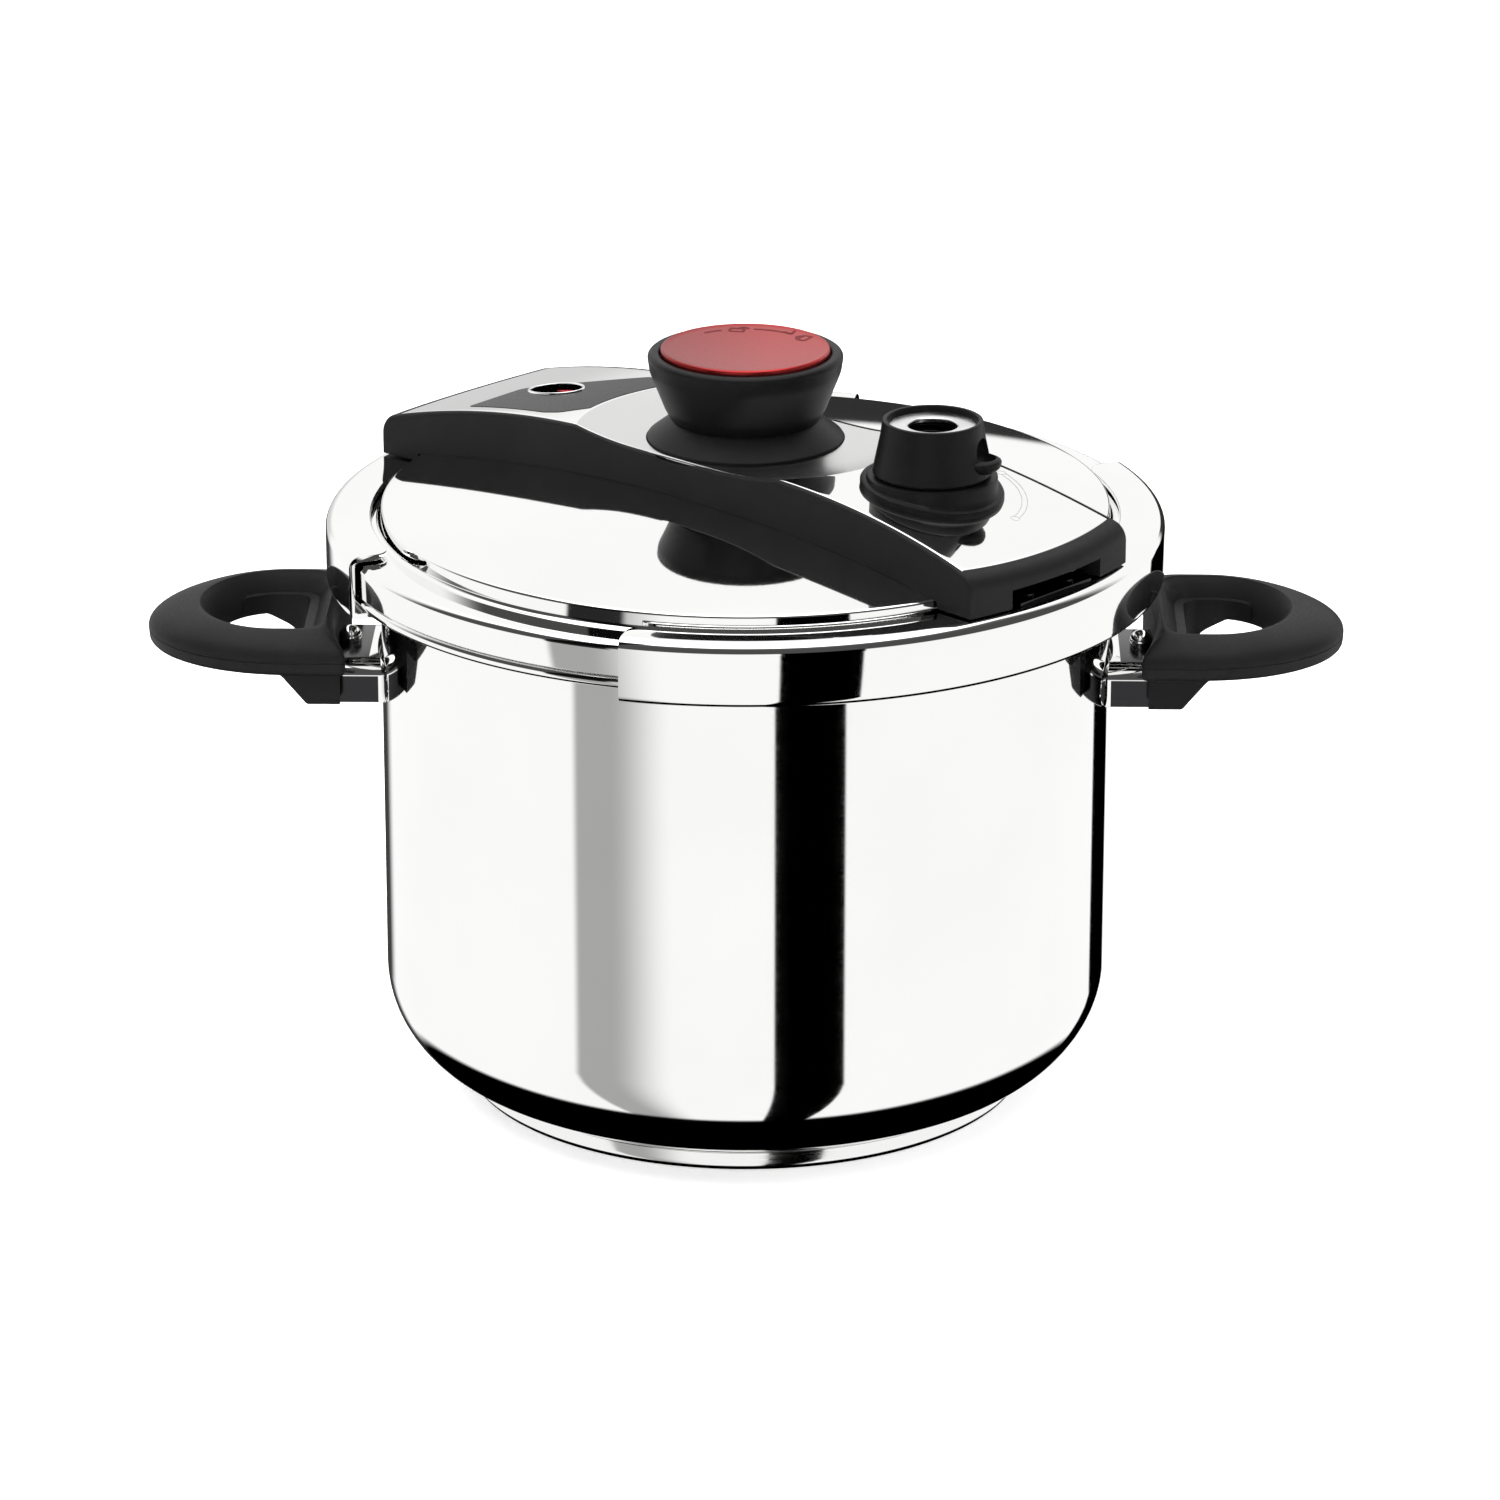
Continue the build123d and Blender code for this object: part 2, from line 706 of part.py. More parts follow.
def crown(drop, half, end):
    """Block under the top of the bridge, lowered by a distance: flat, two arcs and the dish."""
    reach = bridge_end + 4.0
    reach_top = bridge_height(reach) - drop
    with BuildPart() as piece:
        with BuildSketch(along):
            with BuildLine():
                flat_line = Line(
                    (-bridge_flat / 2, bridge_top - drop), (bridge_flat / 2, bridge_top - drop)
                )
                right_arc = RadiusArc(flat_line @ 1, (reach, reach_top), bridge_curve)
                left_arc = RadiusArc((-reach, reach_top), flat_line @ 0, bridge_curve)
                Polyline(
                    right_arc @ 1, (reach, block_bottom), (-reach, block_bottom), left_arc @ 0
                )
            make_face()
        extrude(amount=half, both=True)
        with BuildSketch(Plane.XY.offset(block_bottom)):
            Circle(end)
        extrude(amount=bridge_top, mode=Mode.INTERSECT)
        dish_top = bridge_top - drop
        dish = turned(
            Plane.XZ,
            [
                (0, dish_top + 5),
                (dish_radius + 5, dish_top + 5),
                (dish_radius, dish_top),
                (dish_floor_radius, dish_top - dish_depth),
                (0, dish_top - dish_depth),
            ],
        )
        add(dish, mode=Mode.SUBTRACT)
    return piece.part


def cover(sign):
    """Steel cover of one half of the bridge, from the knob to the end."""
    with BuildPart() as piece:
        add(crown(0, cover_half, cover_end))
        add(crown(cover_sheet, half_width + 1, bridge_end + 1), mode=Mode.SUBTRACT)
        with BuildSketch(across.offset(block_bottom)):
            with Locations((-sign * bridge_end, 0)):
                Rectangle(2 * bridge_end, 2 * bridge_width)
            Circle(knob_top_radius + cover_knob_gap)
        extrude(amount=bridge_top, mode=Mode.SUBTRACT)
    return piece.part


oval_x = window_length / 2
oval_y = window_width / 2
panel_depth = 0.4
bezel_depth = 4.8
bezel_proud = 0.6
window_height = bridge_height(indicator_offset)
window_place = Location((indicator_offset, 0))
with BuildPart() as panel_blank:
    with BuildSketch(across.offset(block_bottom)):
        with BuildLine():
            panel_arc = CenterArc((0, 0), dish_radius + 1.2, 159.5, 39.0)
            Polyline(
                panel_arc @ 0,
                (indicator_offset + 17.5, 23.0),
                (indicator_offset + 5.0, 12.5),
                (indicator_offset - 14.0, 0.0),
                (indicator_offset - 12.5, -26.0),
                (panel_arc @ 1) + Vector(-5.0, -8.5),
                panel_arc @ 1,
            )
        make_face()
    extrude(amount=bridge_top)

with BuildPart() as bezel_blank:
    with BuildSketch(across.offset(window_height - bezel_depth)):
        with Locations(window_place):
            Ellipse(oval_x, oval_y)
    extrude(amount=2 * bezel_depth)

with BuildPart() as window_panel:
    add(panel_blank.part)
    add(crown(0, cover_half, cover_end), mode=Mode.INTERSECT)
    add(crown(panel_depth, half_width + 1, bridge_end + 1), mode=Mode.SUBTRACT)
    add(bezel_blank.part, mode=Mode.SUBTRACT)
window_panel.part.label = "window_panel"
export_step(window_panel.part, "parts/window_panel.step")

with BuildPart() as window_bezel:
    with BuildSketch(across.offset(window_height - bezel_depth)):
        with Locations(window_place):
            Ellipse(oval_x, oval_y)
            Ellipse(oval_x - bezel_width, oval_y - bezel_width, mode=Mode.SUBTRACT)
    extrude(amount=2 * bezel_depth)
    add(crown(-bezel_proud, half_width, bridge_end), mode=Mode.INTERSECT)
window_bezel.part.label = "window_bezel"
export_step(window_bezel.part, "parts/window_bezel.step")

with BuildPart() as cover_rear:
    add(cover(-1))
    add(window_panel.part, mode=Mode.SUBTRACT)
    add(bezel_blank.part, mode=Mode.SUBTRACT)
cover_rear.part.label = "cover_rear"
export_step(cover_rear.part, "parts/cover_rear.step")

collar_seat_radius = collar_neck_radius - 2.0
with BuildPart() as cover_front:
    add(cover(1))
    with BuildSketch(level(valve_offset, 0, block_bottom)):
        Circle(collar_seat_radius)
    extrude(amount=bridge_top, mode=Mode.SUBTRACT)
cover_front.part.label = "cover_front"
export_step(cover_front.part, "parts/cover_front.step")

notch_half = arm_width / 2 + 2.0
notch_room = 0.9
notch_top = dome_height(dome_edge - 4.8) + arm_gap + arm_sheet + notch_room
boss_radius = 5.0
pinion_room = 0.6
seat_room = 1.2
boss_roof = 6.0
with BuildPart() as bridge_body:
    add(crown(0, half_width, bridge_end))
    add(cover(1), mode=Mode.SUBTRACT)
    add(cover(-1), mode=Mode.SUBTRACT)
    inner_half = half_width - bridge_wall
    add(crown(bridge_roof, inner_half, bridge_end - bridge_end_wall), mode=Mode.SUBTRACT)
    with BuildSketch(across.offset(block_bottom)):
        with Locations(*screw_places):
            Circle(boss_radius)
    bosses = extrude(amount=bridge_top, mode=Mode.PRIVATE)
    add(bosses & crown(bridge_roof, half_width, bridge_end))
    with BuildSketch(across.offset(block_bottom)):
        Rectangle(2 * bridge_end + 10, 2 * notch_half)
    extrude(amount=notch_top - block_bottom, mode=Mode.SUBTRACT)
    with BuildSketch(Plane.XY.offset(block_bottom)):
        Circle(bridge_end + 10)
    extrude(amount=bridge_bottom - block_bottom, mode=Mode.SUBTRACT)
    with BuildSketch(Plane.XZ):
        with BuildLine():
            hollow_radius = dome_edge + 1.0
            hollow_foot = (hollow_radius, dome_height(hollow_radius) + dome_gap)
            hollow_arc = RadiusArc((0, crown_top + dome_gap), hollow_foot, dome_radius)
            Polyline(
                hollow_arc @ 1, (hollow_radius, block_bottom), (0, block_bottom), hollow_arc @ 0
            )
        make_face()
    revolve(axis=Axis.Z, mode=Mode.SUBTRACT)
    with BuildSketch(across.offset(block_bottom)):
        Circle(hub_radius + pinion_room)
        with Locations((valve_offset, 0)):
            Circle(collar_seat_radius)
        with Locations(window_place):
            Ellipse(oval_x, oval_y)
    extrude(amount=bridge_top, mode=Mode.SUBTRACT)
    with BuildSketch(across.offset(bridge_top - knob_seat_depth)):
        Circle(knob_top_radius + seat_room)
    extrude(amount=bridge_rise, mode=Mode.SUBTRACT)
    with BuildSketch(across.offset(block_bottom)):
        with Locations(*screw_places):
            Circle(screw_radius)
    extrude(amount=bridge_height(bridge_screw_offset) - boss_roof - block_bottom, mode=Mode.SUBTRACT)
bridge_body.part.label = "bridge_body"
export_step(bridge_body.part, "parts/bridge_body.step")

screw_head = 4.0
screw_head_height = 2.4
screw_socket = 1.8
screw_socket_depth = 1.4
screw_reach = hypot(bridge_screw_offset, screw_side) + screw_head
screw_seat = dome_height(screw_reach) - lid_sheet - 0.4
screw_top = bridge_height(bridge_screw_offset) - boss_roof - 0.5
with BuildPart() as bridge_screws:
    with BuildSketch(across.offset(screw_seat - screw_head_height)):
        with Locations(*screw_places):
            Circle(screw_head)
    extrude(amount=screw_head_height)
    with BuildSketch(across.offset(screw_seat)):
        with Locations(*screw_places):
            Circle(screw_radius)
    extrude(amount=screw_top - screw_seat)
    with BuildSketch(across.offset(screw_seat - screw_head_height)):
        with Locations(*screw_places):
            RegularPolygon(radius=screw_socket, side_count=6)
    extrude(amount=screw_socket_depth, mode=Mode.SUBTRACT)
bridge_screws.part.label = "bridge_screws"
export_step(bridge_screws.part, "parts/bridge_screws.step")

# ---------------------------------------------------------------- stud, pinion and knob
stud_top = cup_floor + 5.2
nut_height = 4.0
nut_flats = 13.0
stud_flange = crown_top - lid_sheet - 0.2
stud_flange_height = 2.4
stud_flange_width = 5.0
with BuildPart() as lid_stud:
    with BuildSketch(Plane.XY.offset(stud_flange - stud_flange_height)):
        Circle(stud_radius + stud_flange_width)
    extrude(amount=stud_flange_height)
    with BuildSketch(Plane.XY.offset(stud_flange)):
        Circle(stud_radius)
    extrude(amount=stud_top - stud_flange)
    chamfer(lid_stud.edges().sort_by(Axis.Z)[-1], 0.6)
lid_stud.part.label = "lid_stud"
export_step(lid_stud.part, "parts/lid_stud.step")

with BuildPart() as stud_nut:
    with BuildSketch(across.offset(cup_floor + 0.1)):
        RegularPolygon(radius=nut_flats / 2, side_count=6, major_radius=False)
        Circle(stud_radius, mode=Mode.SUBTRACT)
    extrude(amount=nut_height)
stud_nut.part.label = "stud_nut"
export_step(stud_nut.part, "parts/stud_nut.step")


def involute_turn(radius, base):
    """Angle, in radians, that an involute has turned through at a radius."""
    slant = sqrt(max(radius**2 / base**2 - 1, 0))
    return slant - atan2(slant, 1)


def flank_points(sign):
    """Points of one involute flank as (radius, angle) from the middle of the tooth."""
    base = pitch_radius * cos(radians(pressure_angle))
    half = (tooth_pitch / 2 - gear_backlash / 2) / 2 / pitch_radius
    points = []
    for step in range(5):
        radius = base + (tip_radius - base) * step / 4
        turn = half + involute_turn(pitch_radius, base) - involute_turn(radius, base)
        points.append((radius, sign * turn))
    return points


gear_points = []
tooth_step = 2 * pi / pinion_teeth
first_tooth = -pi / 2
for tooth in range(pinion_teeth):
    middle = first_tooth + tooth * tooth_step
    rising = flank_points(-1)
    falling = list(reversed(flank_points(1)))
    flank = [(root_radius, rising[0][1])] + rising + falling + [(root_radius, falling[-1][1])]
    gear_points += [(r * cos(middle + a), r * sin(middle + a)) for r, a in flank]

hub_screw_place = 12.3
hub_screw_radius = 1.5
hub_screw_head = 2.5
hub_screw_head_height = 1.8
pinion_bottom = rack_bottom - 0.5
pinion_top = pinion_bottom + gear_thickness
with BuildPart() as knob_hub:
    with BuildSketch(across.offset(pinion_bottom)):
        with BuildLine():
            Polyline(*gear_points, close=True)
        make_face()
    extrude(amount=gear_thickness)
    with BuildSketch(across.offset(pinion_top)):
        Circle(hub_radius)
    extrude(amount=flange_bottom - pinion_top)
    with BuildSketch(across.offset(flange_bottom)):
        Circle(hub_flange_radius)
    extrude(amount=hub_flange)
    with BuildSketch(across.offset(block_bottom)):
        Circle(stud_radius + running_gap)
    extrude(amount=cup_top, mode=Mode.SUBTRACT)
    with BuildSketch(across.offset(flange_bottom)):
        with PolarLocations(hub_screw_place, 2):
            Circle(hub_screw_radius)
    extrude(amount=hub_flange, mode=Mode.SUBTRACT)
knob_hub.part.label = "knob_hub"
export_step(knob_hub.part, "parts/knob_hub.step")

skirt_bore = hub_radius + fit_gap
skirt_edge = 1.6
skirt_gap = 0.2
spigot_radius = knob_foot_radius - 1.3
with BuildPart() as knob_skirt:
    add(
        turned(
            Plane.XZ,
            [
                (skirt_bore, skirt_bottom),
                (knob_top_radius, skirt_bottom),
                (knob_top_radius, skirt_bottom + skirt_edge),
                (knob_foot_radius + skirt_gap, skirt_top - skirt_gap),
                (spigot_radius, skirt_top - skirt_gap),
                (spigot_radius, flange_bottom),
                (skirt_bore, flange_bottom),
            ],
        )
    )
knob_skirt.part.label = "knob_skirt"
export_step(knob_skirt.part, "parts/knob_skirt.step")

rim_round = 1.2
cup_floor_top = cup_floor + 2.4
ledge_width = 2.5
well_width = 1.6
nut_well = nut_flats / 2 + 2.6
cup_ledge = cup_top + insert_proud - insert_thickness
with BuildPart() as knob_cup:
    add(
        turned(
            Plane.XZ,
            [
                (spigot_radius + fit_gap, skirt_top),
                (knob_foot_radius, skirt_top),
                (knob_top_radius, cup_top - rim_round),
                (knob_top_radius - rim_round, cup_top),
                (insert_radius + fit_gap, cup_top),
                (insert_radius + fit_gap, cup_ledge),
                (knob_top_radius - knob_wall - ledge_width, cup_ledge),
                (knob_foot_radius - knob_wall + well_width, cup_floor_top),
                (nut_well, cup_floor_top),
                (nut_well, cup_floor),
                (hub_flange_radius + fit_gap, cup_floor),
                (hub_flange_radius + fit_gap, flange_bottom + fit_gap),
                (spigot_radius + fit_gap, flange_bottom + fit_gap),
            ],
        )
    )
    with BuildSketch(across.offset(cup_floor)):
        with PolarLocations(hub_screw_place, 2):
            Circle(hub_screw_radius + fit_gap)
    extrude(amount=hub_flange, mode=Mode.SUBTRACT)
knob_cup.part.label = "knob_cup"
export_step(knob_cup.part, "parts/knob_cup.step")

insert_top = cup_top + insert_proud
insert_dish = 1.0
with BuildPart() as knob_insert:
    with BuildSketch(Plane.XZ):
        with BuildLine():
            dish_line = ThreePointArc(
                (0, insert_top - insert_dish),
                (insert_radius / 2, insert_top - 0.75 * insert_dish),
                (insert_radius, insert_top),
            )
            Polyline(
                dish_line @ 1,
                (insert_radius, insert_top - insert_thickness),
                (0, insert_top - insert_thickness),
                (0, insert_top - insert_dish),
            )
        make_face()
    revolve(axis=Axis.Z)
knob_insert.part.label = "knob_insert"
export_step(knob_insert.part, "parts/knob_insert.step")

with BuildPart() as knob_screws:
    with BuildSketch(across.offset(flange_bottom)):
        with PolarLocations(hub_screw_place, 2):
            Circle(hub_screw_radius)
    extrude(amount=cup_floor_top - flange_bottom)
    with BuildSketch(across.offset(cup_floor_top)):
        with PolarLocations(hub_screw_place, 2):
            Circle(hub_screw_head)
    extrude(amount=hub_screw_head_height)
knob_screws.part.label = "knob_screws"
export_step(knob_screws.part, "parts/knob_screws.step")

# ---------------------------------------------------------------- pressure valve
valve_plane = upright(valve_offset)
plate_height = bridge_height(valve_offset)
neck_top = plate_height + collar_height
tube_rise = 4.0
tube_drop = 7.0
tube_top = neck_top + tube_rise
tube_bottom = dome_height(valve_offset) - lid_sheet - tube_drop
selector_bottom = neck_top + 0.3
selector_top = selector_bottom + selector_height
disc_thickness = 1.4
disc_top = selector_top - selector_recess
disc_radius = selector_top_radius - selector_wall
collar_bore = tube_radius + 1.2
collar_spigot_height = bridge_roof + collar_tier

with BuildPart() as valve_collar:
    with BuildSketch(level(valve_offset, 0, block_bottom)):
        Circle(collar_radius)
    extrude(amount=bridge_top)
    add(crown(-collar_tier, half_width, bridge_end), mode=Mode.INTERSECT)
    with BuildSketch(level(valve_offset, 0, block_bottom)):
        Circle(collar_neck_radius)
    extrude(amount=neck_top - block_bottom)
    with BuildSketch(level(valve_offset, 0, block_bottom)):
        Circle(collar_radius + 1)
    collar_column = extrude(amount=bridge_top, mode=Mode.PRIVATE)
    add(collar_column & crown(0, half_width, bridge_end), mode=Mode.SUBTRACT)
    with BuildSketch(level(valve_offset, 0, plate_height - bridge_roof)):
        Circle(collar_seat_radius)
    extrude(amount=collar_spigot_height)
    with BuildSketch(level(valve_offset, 0, block_bottom)):
        Circle(collar_bore)
    extrude(amount=bridge_top, mode=Mode.SUBTRACT)
valve_collar.part.label = "valve_collar"
export_step(valve_collar.part, "parts/valve_collar.step")

nut_flat_radius = 6.5
valve_nut_height = 3.6
valve_nut_top = dome_height(valve_offset + 9.0) - lid_sheet - 1.0
tube_bevel = 1.0
with BuildPart() as valve_tube:
    add(
        turned(
            valve_plane,
            [
                (tube_bore, tube_bottom),
                (tube_radius, tube_bottom),
                (tube_radius, tube_top - tube_bevel),
                (tube_radius - tube_bevel, tube_top),
                (tube_bore, tube_top),
            ],
        )
    )
valve_tube.part.label = "valve_tube"
export_step(valve_tube.part, "parts/valve_tube.step")

with BuildPart() as valve_nut:
    with BuildSketch(level(valve_offset, 0, valve_nut_top - valve_nut_height)):
        RegularPolygon(radius=nut_flat_radius, side_count=6, major_radius=False)
        Circle(tube_radius, mode=Mode.SUBTRACT)
    extrude(amount=valve_nut_height)
valve_nut.part.label = "valve_nut"
export_step(valve_nut.part, "parts/valve_nut.step")

seal_radius = 7.0
seal_thickness = 0.9
with BuildPart() as valve_seal:
    with BuildSketch(level(valve_offset, 0, valve_nut_top)):
        Circle(seal_radius)
        Circle(tube_radius, mode=Mode.SUBTRACT)
    extrude(amount=seal_thickness)
valve_seal.part.label = "valve_seal"
export_step(valve_seal.part, "parts/valve_seal.step")

spout_height = selector_bottom + 5.2
selector_bevel = 0.6
spout_sink = 1.0
disc_ledge_height = 1.6
disc_ledge_width = 1.4
spout_plane = Plane(
    origin=spot(valve_offset, 0, spout_height),
    x_dir=(0, 0, 1),
    z_dir=across.rotated((0, 0, spout_angle)).x_dir,
)
chamber_floor = selector_bottom + 2.4
chamber_radius = selector_top_radius - selector_wall
with BuildPart() as valve_selector:
    add(
        turned(
            valve_plane,
            [
                (0, selector_bottom),
                (selector_foot_radius, selector_bottom),
                (selector_top_radius, selector_top - selector_bevel),
                (selector_top_radius - selector_bevel, selector_top),
                (0, selector_top),
            ],
        )
    )
    with BuildSketch(spout_plane.offset(chamber_radius - spout_sink)):
        Circle(spout_radius)
    extrude(amount=spout_reach - chamber_radius + spout_sink)
    with BuildSketch(level(valve_offset, 0, chamber_floor)):
        Circle(chamber_radius)
    extrude(amount=selector_height, mode=Mode.SUBTRACT)
    with BuildSketch(level(valve_offset, 0, selector_bottom)):
        Circle(tube_radius + running_gap)
    extrude(amount=selector_height, mode=Mode.SUBTRACT)
    with BuildSketch(spout_plane):
        Circle(spout_bore)
    extrude(amount=2 * spout_reach, mode=Mode.SUBTRACT)
    with BuildSketch(level(valve_offset, 0, disc_top - disc_thickness - disc_ledge_height)):
        Circle(chamber_radius)
        Circle(chamber_radius - disc_ledge_width, mode=Mode.SUBTRACT)
    extrude(amount=disc_ledge_height)
valve_selector.part.label = "valve_selector"
export_step(valve_selector.part, "parts/valve_selector.step")

with BuildPart() as valve_disc:
    with BuildSketch(level(valve_offset, 0, disc_top - disc_thickness)):
        Circle(disc_radius)
        Circle(disc_hole_radius, mode=Mode.SUBTRACT)
    extrude(amount=disc_thickness)
valve_disc.part.label = "valve_disc"
export_step(valve_disc.part, "parts/valve_disc.step")

poppet_head = disc_hole_radius + 2.2
poppet_head_height = 1.2
poppet_stem = disc_hole_radius - 3.2
poppet_tip = 2.4
poppet_depth = 4.5
poppet_top = disc_top - disc_thickness - poppet_depth
with BuildPart() as valve_poppet:
    add(
        turned(
            valve_plane,
            [
                (0, tube_top - poppet_tip),
                (tube_bore - running_gap, tube_top - poppet_tip),
                (tube_bore - running_gap, tube_top),
                (poppet_head, tube_top),
                (poppet_head, tube_top + poppet_head_height),
                (poppet_stem, tube_top + poppet_head_height),
                (poppet_stem, poppet_top),
                (0, poppet_top),
            ],
        )
    )
valve_poppet.part.label = "valve_poppet"
export_step(valve_poppet.part, "parts/valve_poppet.step")


def coil(place, bottom, top, radius, wire, turns):
    """Round-wire compression spring standing over a point of the bridge."""
    with BuildPart() as piece:
        with BuildLine(place.offset(bottom)):
            path = Helix((top - bottom) / turns, top - bottom, radius)
        with BuildSketch(Plane(origin=path @ 0, z_dir=path % 0)):
            Circle(wire)
        sweep(path=path, is_frenet=True)
    return piece.part


spring_wire = 0.45
spring_radius = 8.4
spring_turns = 3.5
spring_seat_gap = 0.05
valve_spring_bottom = tube_top + poppet_head_height + spring_wire + spring_seat_gap
valve_spring_top = disc_top - disc_thickness - spring_wire - spring_seat_gap
valve_spring_place = level(valve_offset, 0, 0)
with BuildPart() as valve_spring:
    add(
        coil(
            valve_spring_place,
            valve_spring_bottom,
            valve_spring_top,
            spring_radius,
            spring_wire,
            spring_turns,
        )
    )
valve_spring.part.label = "valve_spring"
export_step(valve_spring.part, "parts/valve_spring.step")

# ---------------------------------------------------------------- pressure indicator
bush_bore = pin_radius - 0.6
pin_plane = upright(indicator_offset)
pin_sight = 3.2
pin_rest = window_height - pin_sight - pin_lift
bush_drop = 6.5
bush_rise = 4.2
bush_bottom = dome_height(-indicator_offset) - lid_sheet - bush_drop
bush_top = dome_height(-indicator_offset) + bush_rise
small_nut_height = 3.0
nut_gap = 0.1
pin_shoulder = 0.6
pin_foot = 1.0
pin_bevel = 0.8
with BuildPart() as indicator_bush:
    add(
        turned(
            pin_plane,
            [
                (bush_bore + running_gap, bush_bottom),
                (bush_radius, bush_bottom),
                (bush_radius, bush_top),
                (bush_bore + running_gap, bush_top),
            ],
        )
    )
indicator_bush.part.label = "indicator_bush"
export_step(indicator_bush.part, "parts/indicator_bush.step")

indicator_nut_top = dome_height(-indicator_offset + 8.0) - lid_sheet - nut_gap
with BuildPart() as indicator_nut:
    with BuildSketch(level(indicator_offset, 0, indicator_nut_top - small_nut_height)):
        RegularPolygon(radius=nut_flat_radius, side_count=6, major_radius=False)
        Circle(bush_radius, mode=Mode.SUBTRACT)
    extrude(amount=small_nut_height)
indicator_nut.part.label = "indicator_nut"
export_step(indicator_nut.part, "parts/indicator_nut.step")

seal_bottom = bush_bottom - pin_lift - pin_shoulder
pin_seal_thickness = 0.5
with BuildPart() as indicator_pin:
    add(
        turned(
            pin_plane,
            [
                (0, seal_bottom - pin_foot),
                (bush_radius - pin_foot, seal_bottom - pin_foot),
                (bush_radius - pin_foot, seal_bottom),
                (bush_bore, seal_bottom),
                (bush_bore, bush_top),
                (pin_radius, bush_top),
                (pin_radius, pin_rest - pin_bevel),
                (pin_radius - pin_bevel, pin_rest),
                (0, pin_rest),
            ],
        )
    )
indicator_pin.part.label = "indicator_pin"
export_step(indicator_pin.part, "parts/indicator_pin.step")

with BuildPart() as indicator_seal:
    with BuildSketch(level(indicator_offset, 0, seal_bottom)):
        Circle(bush_radius - pin_bevel)
        Circle(bush_bore, mode=Mode.SUBTRACT)
    extrude(amount=pin_seal_thickness)
indicator_seal.part.label = "indicator_seal"
export_step(indicator_seal.part, "parts/indicator_seal.step")

# ---------------------------------------------------------------- safety valve
safety_plane = upright(safety_offset, safety_side)
safety_distance = hypot(safety_offset, safety_side)
safety_drop = 6.0
safety_rise = 6.6
safety_bottom = dome_height(safety_distance) - lid_sheet - safety_drop
safety_top = dome_height(safety_distance) + safety_rise
safety_wall = 1.2
safety_floor = 4.0
stem_radius = 1.4
stem_disc = safety_radius - 1.6
stem_disc_height = 1.2
stem_tip_radius = stem_radius - 0.5
stem_tip = 2.0
stem_room = 0.6
cap_bore = 1.0
cap_height = 1.0
with BuildPart() as safety_body:
    add(
        turned(
            safety_plane,
            [
                (stem_radius + running_gap, safety_bottom),
                (safety_radius, safety_bottom),
                (safety_radius, safety_top),
                (safety_radius - safety_wall, safety_top),
                (safety_radius - safety_wall, safety_bottom + safety_floor),
                (stem_radius + running_gap, safety_bottom + safety_floor),
            ],
        )
    )
safety_body.part.label = "safety_body"
export_step(safety_body.part, "parts/safety_body.step")

safety_nut_top = dome_height(safety_distance + 8.0) - lid_sheet - nut_gap
with BuildPart() as safety_nut:
    with BuildSketch(level(safety_offset, safety_side, safety_nut_top - small_nut_height)):
        RegularPolygon(radius=nut_flat_radius, side_count=6, major_radius=False)
        Circle(safety_radius, mode=Mode.SUBTRACT)
    extrude(amount=small_nut_height)
safety_nut.part.label = "safety_nut"
export_step(safety_nut.part, "parts/safety_nut.step")

disc_seat = safety_bottom + safety_floor + stem_disc_height
with BuildPart() as safety_stem:
    add(
        turned(
            safety_plane,
            [
                (0, safety_bottom - stem_tip),
                (stem_radius, safety_bottom - stem_tip),
                (stem_radius, safety_bottom + safety_floor),
                (stem_disc, safety_bottom + safety_floor),
                (stem_disc, disc_seat),
                (stem_tip_radius, disc_seat),
                (stem_tip_radius, safety_top - safety_lift - stem_room),
                (0, safety_top - safety_lift - stem_room),
            ],
        )
    )
safety_stem.part.label = "safety_stem"
export_step(safety_stem.part, "parts/safety_stem.step")

with BuildPart() as safety_cap:
    add(
        turned(
            safety_plane,
            [
                (cap_bore, safety_top),
                (safety_radius, safety_top),
                (safety_radius, safety_top + cap_height),
                (cap_bore, safety_top + cap_height),
            ],
        )
    )
safety_cap.part.label = "safety_cap"
export_step(safety_cap.part, "parts/safety_cap.step")

fine_wire = 0.3
fine_radius = 2.0
fine_turns = 5
safety_spring_bottom = disc_seat + fine_wire + spring_seat_gap
safety_spring_top = safety_top - fine_wire - spring_seat_gap
safety_place = level(safety_offset, safety_side, 0)
with BuildPart() as safety_spring:
    add(
        coil(
            safety_place,
            safety_spring_bottom,
            safety_spring_top,
            fine_radius,
            fine_wire,
            fine_turns,
        )
    )
safety_spring.part.label = "safety_spring"
export_step(safety_spring.part, "parts/safety_spring.step")
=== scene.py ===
"""Surfaces, finishes and studio for a clamp-lid stovetop pressure cooker.

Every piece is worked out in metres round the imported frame: the pot's axis is Z, its handles lie
along X, and the bridge lies along the direction in which the front clamp slides.
"""

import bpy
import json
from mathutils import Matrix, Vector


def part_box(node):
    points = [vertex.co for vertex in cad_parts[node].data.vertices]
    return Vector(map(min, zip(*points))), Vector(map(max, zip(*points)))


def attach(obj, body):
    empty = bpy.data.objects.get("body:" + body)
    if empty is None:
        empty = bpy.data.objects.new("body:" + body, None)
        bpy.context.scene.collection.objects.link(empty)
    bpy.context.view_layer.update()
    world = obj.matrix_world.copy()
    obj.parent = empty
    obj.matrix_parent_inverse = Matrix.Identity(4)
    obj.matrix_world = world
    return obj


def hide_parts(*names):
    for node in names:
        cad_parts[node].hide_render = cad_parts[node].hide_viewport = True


bl_info = {
    "name": "Clamp-lid pressure cooker",
    "version": (1, 0, 0),
    "blender": (4, 5, 0),
    "location": "3D View > Sidebar > Cooker",
    "description": "Builds the polished and moulded surfaces of a stovetop pressure cooker",
    "category": "Object",
}

import json
from math import atan2, cos, degrees, hypot, pi, radians, sin, sqrt

